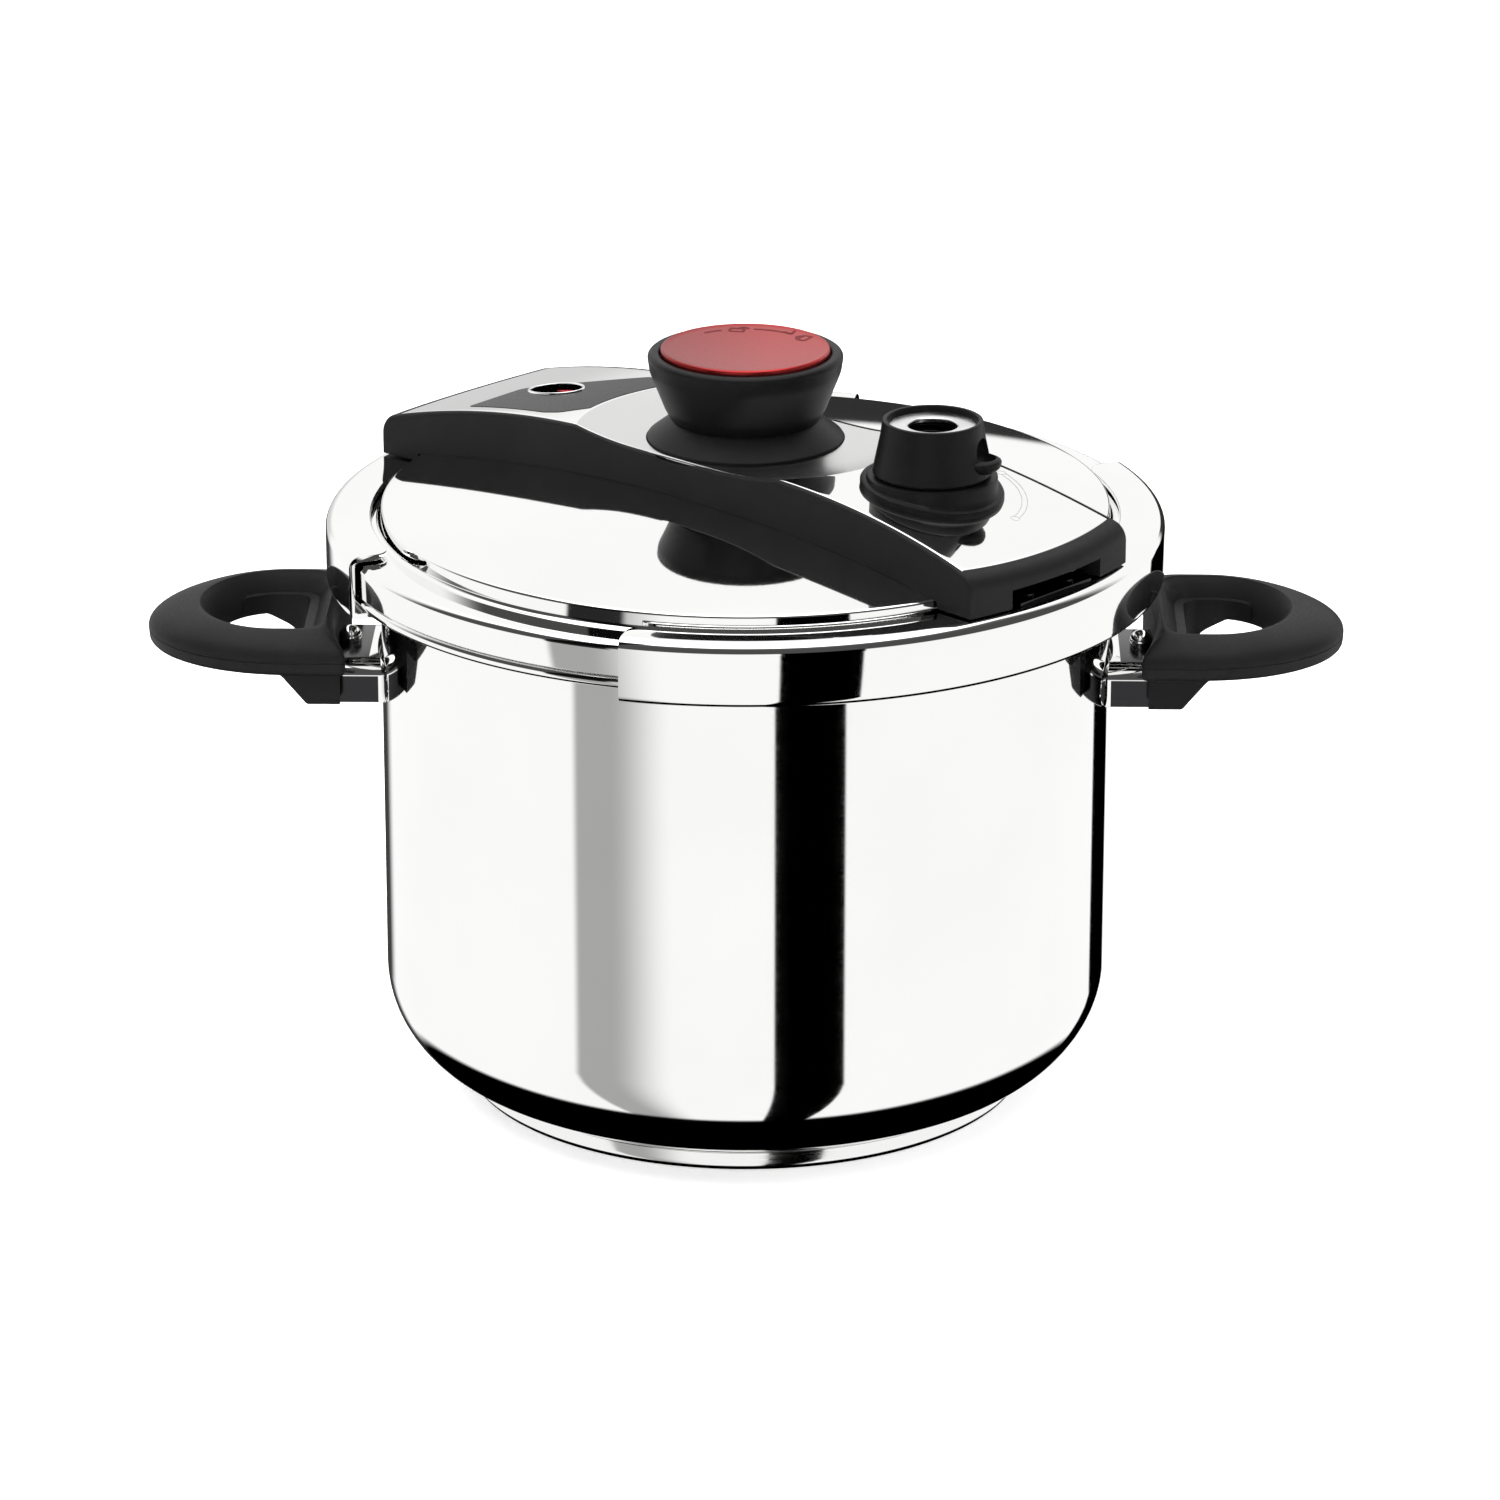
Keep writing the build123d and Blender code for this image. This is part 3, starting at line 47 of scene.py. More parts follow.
import bmesh
import bpy
import numpy as np
from bpy.props import FloatProperty, FloatVectorProperty, IntProperty, PointerProperty
from mathutils import Vector

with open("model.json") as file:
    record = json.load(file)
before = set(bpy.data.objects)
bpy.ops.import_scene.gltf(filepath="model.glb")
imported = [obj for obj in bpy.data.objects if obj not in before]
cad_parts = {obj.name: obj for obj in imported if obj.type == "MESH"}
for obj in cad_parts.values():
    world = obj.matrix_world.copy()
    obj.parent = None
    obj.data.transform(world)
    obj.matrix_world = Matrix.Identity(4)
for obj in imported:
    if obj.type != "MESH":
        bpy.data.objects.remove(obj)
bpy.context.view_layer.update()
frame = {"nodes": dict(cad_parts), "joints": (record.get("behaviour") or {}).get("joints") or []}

MM = 0.001
TURN = 2 * pi


# ------------------------------------------------------------------ places read from the frame
def low(node):
    """Lowest corner of a CAD node."""
    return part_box(node)[0]


def high(node):
    """Highest corner of a CAD node."""
    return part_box(node)[1]


def joint(name):
    """The record's entry of one joint."""
    return next(entry for entry in frame["joints"] if entry["name"] == name)


SLIDE = joint("front_clamp_slide")["axis"]
BRIDGE_ANGLE = atan2(SLIDE[1], SLIDE[0])
VALVE_POINT = joint("valve_turn")["pos_m"]
VALVE_OFFSET = hypot(VALVE_POINT[0], VALVE_POINT[1])
WINDOW_POINT = (low("indicator_pin") + high("indicator_pin")) / 2
WINDOW_OFFSET = -hypot(WINDOW_POINT[0], WINDOW_POINT[1])

BASE_TOP = high("base_cap").z
BASE_RADIUS = high("base_cap").x
RIM_TOP = high("pot_body").z
RIM_RADIUS = high("pot_body").x
POT_RADIUS = RIM_RADIUS - 13.5 * MM
CROWN = high("lid").z
LID_FOOT = low("lid").z
LID_FLANGE = RIM_TOP + 10.3 * MM
DOME_EDGE = POT_RADIUS - 0.6 * MM
DOME_FOOT = LID_FLANGE + 5.4 * MM
DOME_RADIUS = (DOME_EDGE**2 + (CROWN - DOME_FOOT) ** 2) / (2 * (CROWN - DOME_FOOT))
JAW_TOP = RIM_TOP + 12.8 * MM
JAW_FOOT = low("jaw_front").z
JAW_RADIUS = high("jaw_rear").y
BRIDGE_TOP = CROWN + 13.0 * MM
BRIDGE_END = POT_RADIUS + 13.0 * MM
BRIDGE_FOOT = JAW_TOP + 0.6 * MM
BRIDGE_HALF = 32.3 * MM
FLARE = 0.115
COVER_END = BRIDGE_END - 5.4 * MM
COVER_START = high("knob_skirt").x + 0.4 * MM
BRIDGE_FLAT = 30.0 * MM
BRIDGE_DROP = 14.3 * MM
BRIDGE_CURVE = ((BRIDGE_END - BRIDGE_FLAT) ** 2 + BRIDGE_DROP**2) / (2 * BRIDGE_DROP)
DISH_RADIUS = 51.5 * MM
DISH_FLOOR = 33.0 * MM
DISH_DEPTH = 2.6 * MM
HANDLE_TIP = high("right_handle").x
HANDLE_HALF = high("right_handle").y
HANDLE_CREST = high("right_handle").z
HANDLE_FOOT = low("right_handle").z
HANDLE_INNER = POT_RADIUS + 14.0 * MM
BRACKET_TOP = 138.3 * MM


# ------------------------------------------------------------------ profile and mesh helpers
def rounded(corners, steps=6):
    """Outline through corners (x, y, radius), each corner turned into a tangent arc.

    The arc's centre is on the bisector of the corner, at radius / sin(half the opening angle).
    """
    points = np.array([corner[:2] for corner in corners], float)
    result = []
    for index, corner in enumerate(corners):
        radius = corner[2] if len(corner) > 2 else 0.0
        here = points[index]
        before = points[index - 1] - here
        after = points[(index + 1) % len(points)] - here
        before_length, after_length = np.linalg.norm(before), np.linalg.norm(after)
        open_end = index in (0, len(points) - 1) and corner[-1] is None
        if not radius or open_end or before_length == 0 or after_length == 0:
            result.append(here)
            continue
        before, after = before / before_length, after / after_length
        half = np.arccos(np.clip(before @ after, -1, 1)) / 2
        if half > pi / 2 - 0.01:
            result.append(here)
            continue
        reach = min(radius / np.tan(half), 0.499 * before_length, 0.499 * after_length)
        radius = reach * np.tan(half)
        centre = here + (before + after) / np.linalg.norm(before + after) * radius / np.sin(half)
        start, end = here + before * reach - centre, here + after * reach - centre
        first, last = atan2(start[1], start[0]), atan2(end[1], end[0])
        sweep = (last - first + pi) % TURN - pi
        count = max(2, int(steps * abs(sweep) / (pi / 2)) + 1)
        turn = first + sweep * np.linspace(0, 1, count + 1)
        arc = centre + radius * np.stack([np.cos(turn), np.sin(turn)], -1)
        result.extend(arc)
    return np.array(result)


def new_object(name, points, faces, sharp=32.0):
    """Mesh object of points and faces, smooth but for edges turned past an angle in degrees."""
    mesh = bpy.data.meshes.new(name)
    mesh.from_pydata(np.asarray(points).tolist(), [], faces)
    mesh.update()
    piece = bpy.data.objects.new(name, mesh)
    bpy.context.scene.collection.objects.link(piece)
    tidy_mesh(piece, sharp)
    return piece


def tidy_mesh(piece, sharp=32.0, merge=1e-6):
    """Merges doubled points, drops empty faces, turns the faces outwards and shades them.

    With a merge distance of 0 the points and faces stay as they are.
    """
    work = bmesh.new()
    work.from_mesh(piece.data)
    if merge > 0:
        bmesh.ops.remove_doubles(work, verts=work.verts, dist=merge)
        bmesh.ops.dissolve_degenerate(work, edges=work.edges, dist=merge)
    bmesh.ops.recalc_face_normals(work, faces=work.faces)
    work.to_mesh(piece.data)
    work.free()
    piece.data.shade_smooth()
    piece.data.set_sharp_from_angle(angle=radians(sharp))


def grid_faces(rows, columns, wrap_rows=False, wrap_columns=False):
    """Quads of a grid of points, row by row, closed on itself where a direction wraps."""
    row_count = rows if wrap_rows else rows - 1
    column_count = columns if wrap_columns else columns - 1
    row, column = np.meshgrid(np.arange(row_count), np.arange(column_count), indexing="ij")
    next_row, next_column = (row + 1) % rows, (column + 1) % columns
    quads = [
        row * columns + column,
        next_row * columns + column,
        next_row * columns + next_column,
        row * columns + next_column,
    ]
    return np.stack(quads, -1).reshape(-1, 4).tolist()


def surface(name, grid, wrap_rows=False, wrap_columns=False, caps=False, sharp=32.0):
    """Object from a grid of points. With caps the first and last row are each closed by a face."""
    rows, columns = grid.shape[:2]
    faces = grid_faces(rows, columns, wrap_rows, wrap_columns)
    if caps:
        faces.append(list(range(columns)))
        faces.append([(rows - 1) * columns + index for index in range(columns)])
    return new_object(name, grid.reshape(-1, 3), faces, sharp)


def lathe(name, profile, centre=(0.0, 0.0), segments=192, sharp=32.0):
    """Solid of revolution: every (r, z) of the profile is carried round a vertical axis.

    A profile that starts and ends on the axis stays open there, its poles merging into points.
    """
    profile = np.asarray(profile, float)
    closed = profile[0, 0] > 0 or profile[-1, 0] > 0
    turn = TURN * np.arange(segments) / segments
    radius, height = profile[:, 0][:, None], profile[:, 1][:, None]
    grid = np.stack(
        [
            centre[0] + radius * np.cos(turn),
            centre[1] + radius * np.sin(turn),
            height + 0 * turn,
        ],
        -1,
    )
    return surface(name, grid, wrap_rows=closed, wrap_columns=True, sharp=sharp)


def on_bridge(along, across, height):
    """Points given along the bridge, across it and up, in the frame."""
    turn_cos, turn_sin = cos(BRIDGE_ANGLE), sin(BRIDGE_ANGLE)
    along, across, height = np.broadcast_arrays(along, across, height)
    return np.stack(
        [along * turn_cos - across * turn_sin, along * turn_sin + across * turn_cos, height], -1
    )


def dome_height(radius):
    """Height of the lid's sphere: its centre plus the root of R squared less r squared."""
    return CROWN - DOME_RADIUS + np.sqrt(DOME_RADIUS**2 - np.asarray(radius) ** 2)


def bridge_height(along):
    """Top line of the bridge: flat in the middle, then one arc tangent to the flat."""
    run = np.maximum(np.abs(along) - BRIDGE_FLAT, 0)
    return BRIDGE_TOP - BRIDGE_CURVE + np.sqrt(BRIDGE_CURVE**2 - run**2)


def flared(along, across):
    """Distance across the bridge, widened towards the ends: across x (1 + f (along / end)^4)."""
    return across * (1 + FLARE * (along / BRIDGE_END) ** 4)


def crown_height(along, across):
    """Top of the bridge with the dish: inside the dish's rim a cone drops towards the knob."""
    radius = np.hypot(along, across)
    part = np.clip((DISH_RADIUS - radius) / (DISH_RADIUS - DISH_FLOOR), 0, 1)
    eased = part * (2 - part)
    return bridge_height(along) - DISH_DEPTH * eased


def block(name, outline, bottom, top):
    """Upright prism on a closed outline given in the frame's X and Y."""
    outline = np.asarray(outline, float)
    grid = np.stack(
        [np.column_stack([outline, np.full(len(outline), height)]) for height in (bottom, top)]
    )
    return surface(name, grid, wrap_columns=True, caps=True)


def boolean(piece, cutter, operation="DIFFERENCE"):
    """Applies an exact boolean of another piece, which is then deleted."""
    modifier = piece.modifiers.new("cut", "BOOLEAN")
    modifier.operation = operation
    modifier.solver = "EXACT"
    modifier.object = cutter
    bake_modifiers(piece)
    mesh = cutter.data
    bpy.data.objects.remove(cutter)
    bpy.data.meshes.remove(mesh)


def bake_modifiers(piece):
    """Replaces the mesh of a piece by its mesh with the modifiers applied."""
    bpy.context.view_layer.update()
    graph = bpy.context.evaluated_depsgraph_get()
    mesh = bpy.data.meshes.new_from_object(piece.evaluated_get(graph))
    old = piece.data
    piece.modifiers.clear()
    piece.data = mesh
    bpy.data.meshes.remove(old)


def soften(piece, width, angle=40.0, segments=3):
    """Rounds the sharp edges of a piece by a bevel, and applies it."""
    modifier = piece.modifiers.new("edges", "BEVEL")
    modifier.width = width
    modifier.segments = segments
    modifier.limit_method = "ANGLE"
    modifier.angle_limit = radians(angle)
    modifier.use_clamp_overlap = True
    bake_modifiers(piece)
    tidy_mesh(piece)


def settle(piece, material, body, slot, *nodes):
    """Gives a piece its material and its body, and hides the CAD nodes that it stands for; its slot is
    not used.
    """
    piece.data.materials.clear()
    piece.data.materials.append(material)
    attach(piece, body)
    if nodes:
        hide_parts(*nodes)
    return piece


# ------------------------------------------------------------------ materials
def start_material(name):
    """Empty node material with a Principled shader, returned with its nodes and links."""
    material = bpy.data.materials.new(name)
    material.use_nodes = True
    tree = material.node_tree
    return material, tree.nodes, tree.links, tree.nodes["Principled BSDF"]


def coordinates(nodes, links, scale=(1.0, 1.0, 1.0)):
    """Object coordinates stretched by a Mapping node."""
    source = nodes.new("ShaderNodeTexCoord")
    mapping = nodes.new("ShaderNodeMapping")
    mapping.inputs["Scale"].default_value = scale
    links.new(source.outputs["Object"], mapping.inputs["Vector"])
    return mapping.outputs["Vector"]


def noise(nodes, links, vector, scale, detail=3.0, roughness=0.5):
    """Noise texture's factor."""
    texture = nodes.new("ShaderNodeTexNoise")
    texture.inputs["Scale"].default_value = scale
    texture.inputs["Detail"].default_value = detail
    texture.inputs["Roughness"].default_value = roughness
    links.new(vector, texture.inputs["Vector"])
    return texture.outputs["Fac"]


def between(nodes, links, factor, low_value, high_value, start=0.35, end=0.65):
    """Maps a factor onto a range of values."""
    remap = nodes.new("ShaderNodeMapRange")
    remap.inputs["From Min"].default_value = start
    remap.inputs["From Max"].default_value = end
    remap.inputs["To Min"].default_value = low_value
    remap.inputs["To Max"].default_value = high_value
    links.new(factor, remap.inputs["Value"])
    return remap.outputs["Result"]


def blend_colours(nodes, links, factor, first, second):
    """Mix of two colours by a factor."""
    mix = nodes.new("ShaderNodeMix")
    mix.data_type = "RGBA"
    mix.inputs[6].default_value = (*first, 1)
    mix.inputs[7].default_value = (*second, 1)
    links.new(factor, mix.inputs[0])
    return mix.outputs[2]


def bump(nodes, links, shader, height, strength, distance):
    """Bump from a height on the shader's normal."""
    node = nodes.new("ShaderNodeBump")
    node.inputs["Strength"].default_value = strength
    node.inputs["Distance"].default_value = distance
    links.new(height, node.inputs["Height"])
    links.new(node.outputs["Normal"], shader.inputs["Normal"])


def steel(name, tint, roughness, lines=(40.0, 40.0, 2600.0)):
    """Polished stainless steel: a mirror with faint rolling lines and hazy patches."""
    material, nodes, links, shader = start_material(name)
    shader.inputs["Metallic"].default_value = 1.0
    vector = coordinates(nodes, links)
    haze = noise(nodes, links, vector, 18.0, 4.0)
    shade = between(nodes, links, haze, 0.0, 1.0)
    darker = tuple(value * 0.975 for value in tint)
    links.new(blend_colours(nodes, links, shade, darker, tint), shader.inputs["Base Color"])
    fine = noise(nodes, links, coordinates(nodes, links, lines), 1.0, 2.0)
    links.new(
        between(nodes, links, fine, 0.75 * roughness, 1.3 * roughness), shader.inputs["Roughness"]
    )
    bump(nodes, links, shader, fine, 0.012, 0.00002)
    return material


def dished_steel(name, tint, roughness, radius):
    """Polished steel that turns satin inside a radius about the vertical axis, its colour there darkened
    as painted shade for the dark things mirrored in the dish.
    """
    material = steel(name, tint, roughness)
    nodes, links = material.node_tree.nodes, material.node_tree.links
    shader = nodes["Principled BSDF"]
    flat = coordinates(nodes, links, (1.0, 1.0, 0.0))
    length = nodes.new("ShaderNodeVectorMath")
    length.operation = "LENGTH"
    links.new(flat, length.inputs[0])
    outside = soft_step(nodes, links, length.outputs["Value"], radius - 0.15 * MM, radius + 0.05 * MM)
    inside = combine(nodes, links, "SUBTRACT", 1.0, outside)
    polish = shader.inputs["Roughness"].links[0].from_socket
    satin = combine(nodes, links, "ADD", polish, combine(nodes, links, "MULTIPLY", inside, 0.2))
    links.new(satin, shader.inputs["Roughness"])
    plain = shader.inputs["Base Color"].links[0].from_socket
    mix = nodes.new("ShaderNodeMix")
    mix.data_type = "RGBA"
    links.new(inside, mix.inputs[0])
    links.new(plain, mix.inputs[6])
    # painted shade: inside the dish the base colour is darkened to 0.74 of the tint
    mix.inputs[7].default_value = (*(0.74 * value for value in tint), 1)
    links.new(mix.outputs[2], shader.inputs["Base Color"])
    return material


def plastic(name, dark, light, roughness, grain=0.25, scale=2600.0):
    """Moulded black phenolic: a fine spark-eroded grain, slightly cloudy colour."""
    material, nodes, links, shader = start_material(name)
    vector = coordinates(nodes, links)
    cloud = between(nodes, links, noise(nodes, links, vector, 45.0, 5.0), 0.0, 1.0)
    links.new(blend_colours(nodes, links, cloud, dark, light), shader.inputs["Base Color"])
    fine = noise(nodes, links, vector, scale, 2.0)
    links.new(
        between(nodes, links, fine, roughness - 0.06, roughness + 0.06), shader.inputs["Roughness"]
    )
    shader.inputs["Specular IOR Level"].default_value = 0.15
    bump(nodes, links, shader, fine, grain, 0.00006)
    return material


def turned_metal(name, tint, roughness, metallic=1.0):
    """Machined metal with fine turning lines stacked up its axis."""
    material, nodes, links, shader = start_material(name)
    shader.inputs["Metallic"].default_value = metallic
    vector = coordinates(nodes, links, (60.0, 60.0, 5200.0))
    line = noise(nodes, links, vector, 1.0, 2.0)
    shade = between(nodes, links, line, 0.0, 1.0)
    darker = tuple(value * 0.86 for value in tint)
    links.new(blend_colours(nodes, links, shade, darker, tint), shader.inputs["Base Color"])
    links.new(
        between(nodes, links, line, roughness * 0.8, roughness * 1.25), shader.inputs["Roughness"]
    )
    bump(nodes, links, shader, line, 0.1, 0.00003)
    return material


def rubber(name, dark, light):
    """Smooth silicone with a dusty bloom."""
    material, nodes, links, shader = start_material(name)
    vector = coordinates(nodes, links)
    bloom = between(nodes, links, noise(nodes, links, vector, 160.0, 6.0), 0.0, 1.0)
    links.new(blend_colours(nodes, links, bloom, dark, light), shader.inputs["Base Color"])
    links.new(between(nodes, links, bloom, 0.5, 0.7), shader.inputs["Roughness"])
    bump(nodes, links, shader, bloom, 0.15, 0.00005)
    return material


def lacquer(name, dark, light):
    """Metallic red lacquer: fine flakes under a clear coat, with painted shading that is darker towards
    the left and lighter to the right.
    """
    material, nodes, links, shader = start_material(name)
    vector = coordinates(nodes, links)
    flake = noise(nodes, links, vector, 5200.0, 1.0)
    split = nodes.new("ShaderNodeSeparateXYZ")
    links.new(vector, split.inputs[0])
    # painted shading: the colour runs from dark on the left to light at centre-right along the insert's
    # X
    side = between(nodes, links, split.outputs[0], 0.0, 0.85, -22 * MM, 8 * MM)
    shade = combine(nodes, links, "ADD", side, between(nodes, links, flake, 0.0, 0.15))
    links.new(blend_colours(nodes, links, shade, dark, light), shader.inputs["Base Color"])
    shader.inputs["Metallic"].default_value = 0.96
    links.new(between(nodes, links, flake, 0.27, 0.36), shader.inputs["Roughness"])
    shader.inputs["Coat Weight"].default_value = 0.03
    shader.inputs["Coat Roughness"].default_value = 0.2
    bump(nodes, links, shader, flake, 0.05, 0.00003)
    return material


class Finishes:
    """The materials, made once and shared by the operators."""

    made = {}

    @classmethod
    def get(cls, name):
        """Material of a finish, made on first use from the scene's settings."""
        if name not in cls.made:
            cls.made[name] = cls.make(name)
        return cls.made[name]

    @staticmethod
    def make(name):
        """New material of one of the finishes of this cooker."""
        looks = bpy.context.scene.cooker_finish
        steel_tint = tuple(looks.steel_tint)
        black = tuple(looks.plastic_tint)
        if name == "polished_steel":
            return steel(name, steel_tint, looks.steel_roughness)
        if name == "pressed_steel":
            return steel(name, steel_tint, looks.steel_roughness * 0.8, (900.0, 900.0, 900.0))
        if name == "cover_steel":
            return dished_steel(name, steel_tint, looks.steel_roughness, DISH_RADIUS)
        if name == "base_steel":
            return steel(name, tuple(0.95 * v for v in steel_tint), 0.1)
        if name == "black_plastic":
            return plastic(name, tuple(0.8 * v for v in black), black, 0.5)
        if name == "knob_plastic":
            return plastic(name, tuple(0.45 * v for v in black), tuple(0.62 * v for v in black), 0.42)
        if name == "panel_plastic":
            return plastic(name, tuple(0.7 * v for v in black), tuple(0.9 * v for v in black), 0.3, 0.1)
        if name == "red_lacquer":
            return lacquer(name, tuple(0.62 * v for v in looks.insert_tint), tuple(looks.insert_tint))
        if name == "dark_red_print":
            return plastic(name, (0.10, 0.006, 0.008), (0.13, 0.01, 0.012), 0.5, 0.05)
        if name == "grey_print":
            return plastic(name, (0.30, 0.30, 0.31), (0.36, 0.36, 0.37), 0.5, 0.05)
        if name == "red_plastic":
            return plastic(name, (0.50, 0.03, 0.05), (0.62, 0.06, 0.08), 0.3, 0.05)
        if name == "satin_aluminium":
            return turned_metal(name, (0.86, 0.86, 0.86), 0.26)
        # dark steel of the carried inner parts; on the brackets' flats the same material is a painted
        # dark reflection
        if name == "dark_steel_and_painted_reflection":
            return steel(name, (0.035, 0.035, 0.037), 0.16)
        if name == "plain_steel":
            return turned_metal(name, (0.62, 0.62, 0.63), 0.3)
        if name == "brass":
            return turned_metal(name, (0.78, 0.60, 0.30), 0.28)
        return rubber(name, (0.22, 0.22, 0.23), (0.30, 0.30, 0.31))


CARRIED = {
    "base_core": "satin_aluminium",
    "gasket": "grey_silicone",
    "valve_seal": "grey_silicone",
    "indicator_seal": "grey_silicone",
    "lid_stud": "plain_steel",
    "stud_nut": "plain_steel",
    "bridge_screws": "plain_steel",
    "handle_screws": "plain_steel",
    "knob_hub": "plain_steel",
    "knob_screws": "plain_steel",
    "arm_front": "dark_steel_and_painted_reflection",
    "arm_rear": "dark_steel_and_painted_reflection",
    "arm_front_rivets": "dark_steel_and_painted_reflection",
    "arm_rear_rivets": "dark_steel_and_painted_reflection",
    "valve_tube": "dark_steel_and_painted_reflection",
    "valve_nut": "plain_steel",
    "valve_poppet": "knob_plastic",
    "valve_spring": "dark_steel_and_painted_reflection",
    "indicator_bush": "satin_aluminium",
    "indicator_nut": "plain_steel",
    "indicator_pin": "red_plastic",
    "safety_body": "brass",
    "safety_nut": "plain_steel",
    "safety_stem": "brass",
    "safety_cap": "brass",
    "safety_spring": "plain_steel",
}


# ------------------------------------------------------------------ settings
class CookerFinish(bpy.types.PropertyGroup):
    """Colours and polish."""

    steel_tint: FloatVectorProperty(
        name="Steel", description="Tint of the polished steel", subtype="COLOR", size=3,
        min=0.0, max=1.0, default=(0.93, 0.93, 0.92),
    )
    steel_roughness: FloatProperty(
        name="Steel roughness", description="How hazy the polish is", min=0.0, max=1.0, default=0.045
    )
    plastic_tint: FloatVectorProperty(
        name="Plastic", description="Colour of the moulded plastic", subtype="COLOR", size=3,
        min=0.0, max=1.0, default=(0.0085, 0.0085, 0.0088),
    )
    insert_tint: FloatVectorProperty(
        name="Knob insert", description="Colour of the knob's red insert", subtype="COLOR", size=3,
        min=0.0, max=1.0, default=(0.47, 0.036, 0.036),
    )


class CookerShape(bpy.types.PropertyGroup):
    """Sizes of edges and details."""

    segments: IntProperty(
        name="Segments", description="Faces round the pot", min=32, max=720, default=360
    )
    dome_round: FloatProperty(
        name="Dome edge", description="Radius of the lid's dome edge", unit="LENGTH",
        min=0.0002, max=0.004, default=0.0024,
    )
    sheet_edge: FloatProperty(
        name="Sheet edge", description="Rounding of cut sheet edges", unit="LENGTH",
        min=0.0001, max=0.001, default=0.0003,
    )
    cover_edge: FloatProperty(
        name="Cover edge", description="Radius of the bridge covers' rolled edge", unit="LENGTH",
        min=0.0002, max=0.00075, default=0.0007,
    )
    bridge_edge: FloatProperty(
        name="Bridge edge", description="Radius of the bridge's upper edge", unit="LENGTH",
        min=0.0002, max=0.0015, default=0.0014,
    )
    parting_groove: FloatProperty(
        name="Parting groove", description="Depth of the handles' parting line", unit="LENGTH",
        min=0.0, max=0.001, default=0.00025,
    )


# ------------------------------------------------------------------ pot
class CookerPot(bpy.types.Operator):
    """Pot body with its rolled rim, and the cap of the base"""

    bl_idname = "cooker.pot"
    bl_label = "Pot and base"

    def execute(self, context):
        shape = context.scene.cooker_shape
        wall, corner, bead = 1.0 * MM, 31.0 * MM, 3.8 * MM
        outside, inside = POT_RADIUS, POT_RADIUS - wall
        floor = BASE_TOP + 0.02 * MM
        profile = rounded(
            [
                (0, floor),
                (outside, floor, corner),
                (outside, RIM_TOP - 1.2 * MM, 0.9 * MM),
                (RIM_RADIUS - bead - 0.2 * MM, RIM_TOP - 1.2 * MM, 0.4 * MM),
                (RIM_RADIUS - bead, RIM_TOP - bead, 1.6 * MM),
                (RIM_RADIUS, RIM_TOP - bead, 1.89 * MM),
                (RIM_RADIUS, RIM_TOP, 1.89 * MM),
                (inside, RIM_TOP, 1.2 * MM),
                (inside, floor + wall, corner - wall),
                (0, floor + wall),
            ],
            steps=16,
        )
        pot = lathe("pot_shell", profile, segments=shape.segments)
        settle(pot, Finishes.get("polished_steel"), "pot", "polished_steel", "pot_body")

        edge, lip = 5.0 * MM, 0.8 * MM
        rings = [(0, 0.35 * MM, 0)]
        for middle in (18, 36, 54, 70):
            rings += [
                (middle * MM, 0.35 * MM, 0.5 * MM),
                ((middle + 0.8) * MM, 0.0, 0.5 * MM),
                ((middle + 6.0) * MM, 0.0, 0.5 * MM),
                ((middle + 6.8) * MM, 0.35 * MM, 0.5 * MM),
            ]
        rings += [
            (79.5 * MM, 0.35 * MM, 0.5 * MM),
            (80.5 * MM, 0.0, 0.5 * MM),
            (BASE_RADIUS, 0.0, edge),
            (BASE_RADIUS, BASE_TOP, 0.5 * MM),
            (BASE_RADIUS - lip, BASE_TOP, 0.3 * MM),
            (BASE_RADIUS - lip, 1.3 * MM, edge - lip),
            (0, 1.3 * MM),
        ]
        cap = lathe("base_pan", rounded(rings, steps=8), segments=shape.segments)
        settle(cap, Finishes.get("base_steel"), "pot", "polished_steel", "base_cap")
        return {"FINISHED"}


# ------------------------------------------------------------------ lid
class CookerLid(bpy.types.Operator):
    """Pressed lid: dome, step, flange and skirt"""

    bl_idname = "cooker.lid"
    bl_label = "Lid"

    def execute(self, context):
        shape = context.scene.cooker_shape
        sheet = 1.2 * MM
        radii = np.linspace(0, DOME_EDGE - 1.5 * MM, 40)
        outer = [(radius, float(dome_height(radius)), 0) for radius in radii]
        inner = [(radius - 0.6 * MM, height - sheet, 0) for radius, height, _ in outer[::-1]]
        inner[-1] = (0, CROWN - sheet, 0)
        profile = rounded(
            outer
            + [
                (DOME_EDGE, DOME_FOOT, shape.dome_round),
                (POT_RADIUS, LID_FLANGE, 1.6 * MM),
                (RIM_RADIUS, LID_FLANGE, 2.2 * MM),
                (RIM_RADIUS, LID_FOOT, 0.4 * MM),
                (RIM_RADIUS - sheet, LID_FOOT, 0.4 * MM),
                (RIM_RADIUS - sheet, LID_FLANGE - sheet, 1.1 * MM),
                (POT_RADIUS - sheet, LID_FLANGE - sheet, 1.6 * MM),
                (DOME_EDGE - sheet, DOME_FOOT - sheet, 1.0 * MM),
            ]
            + inner,
            steps=10,
        )
        lid = lathe("lid_shell", profile, segments=shape.segments)
        settle(lid, Finishes.get("pressed_steel"), "pot", "polished_steel", "lid")
        return {"FINISHED"}


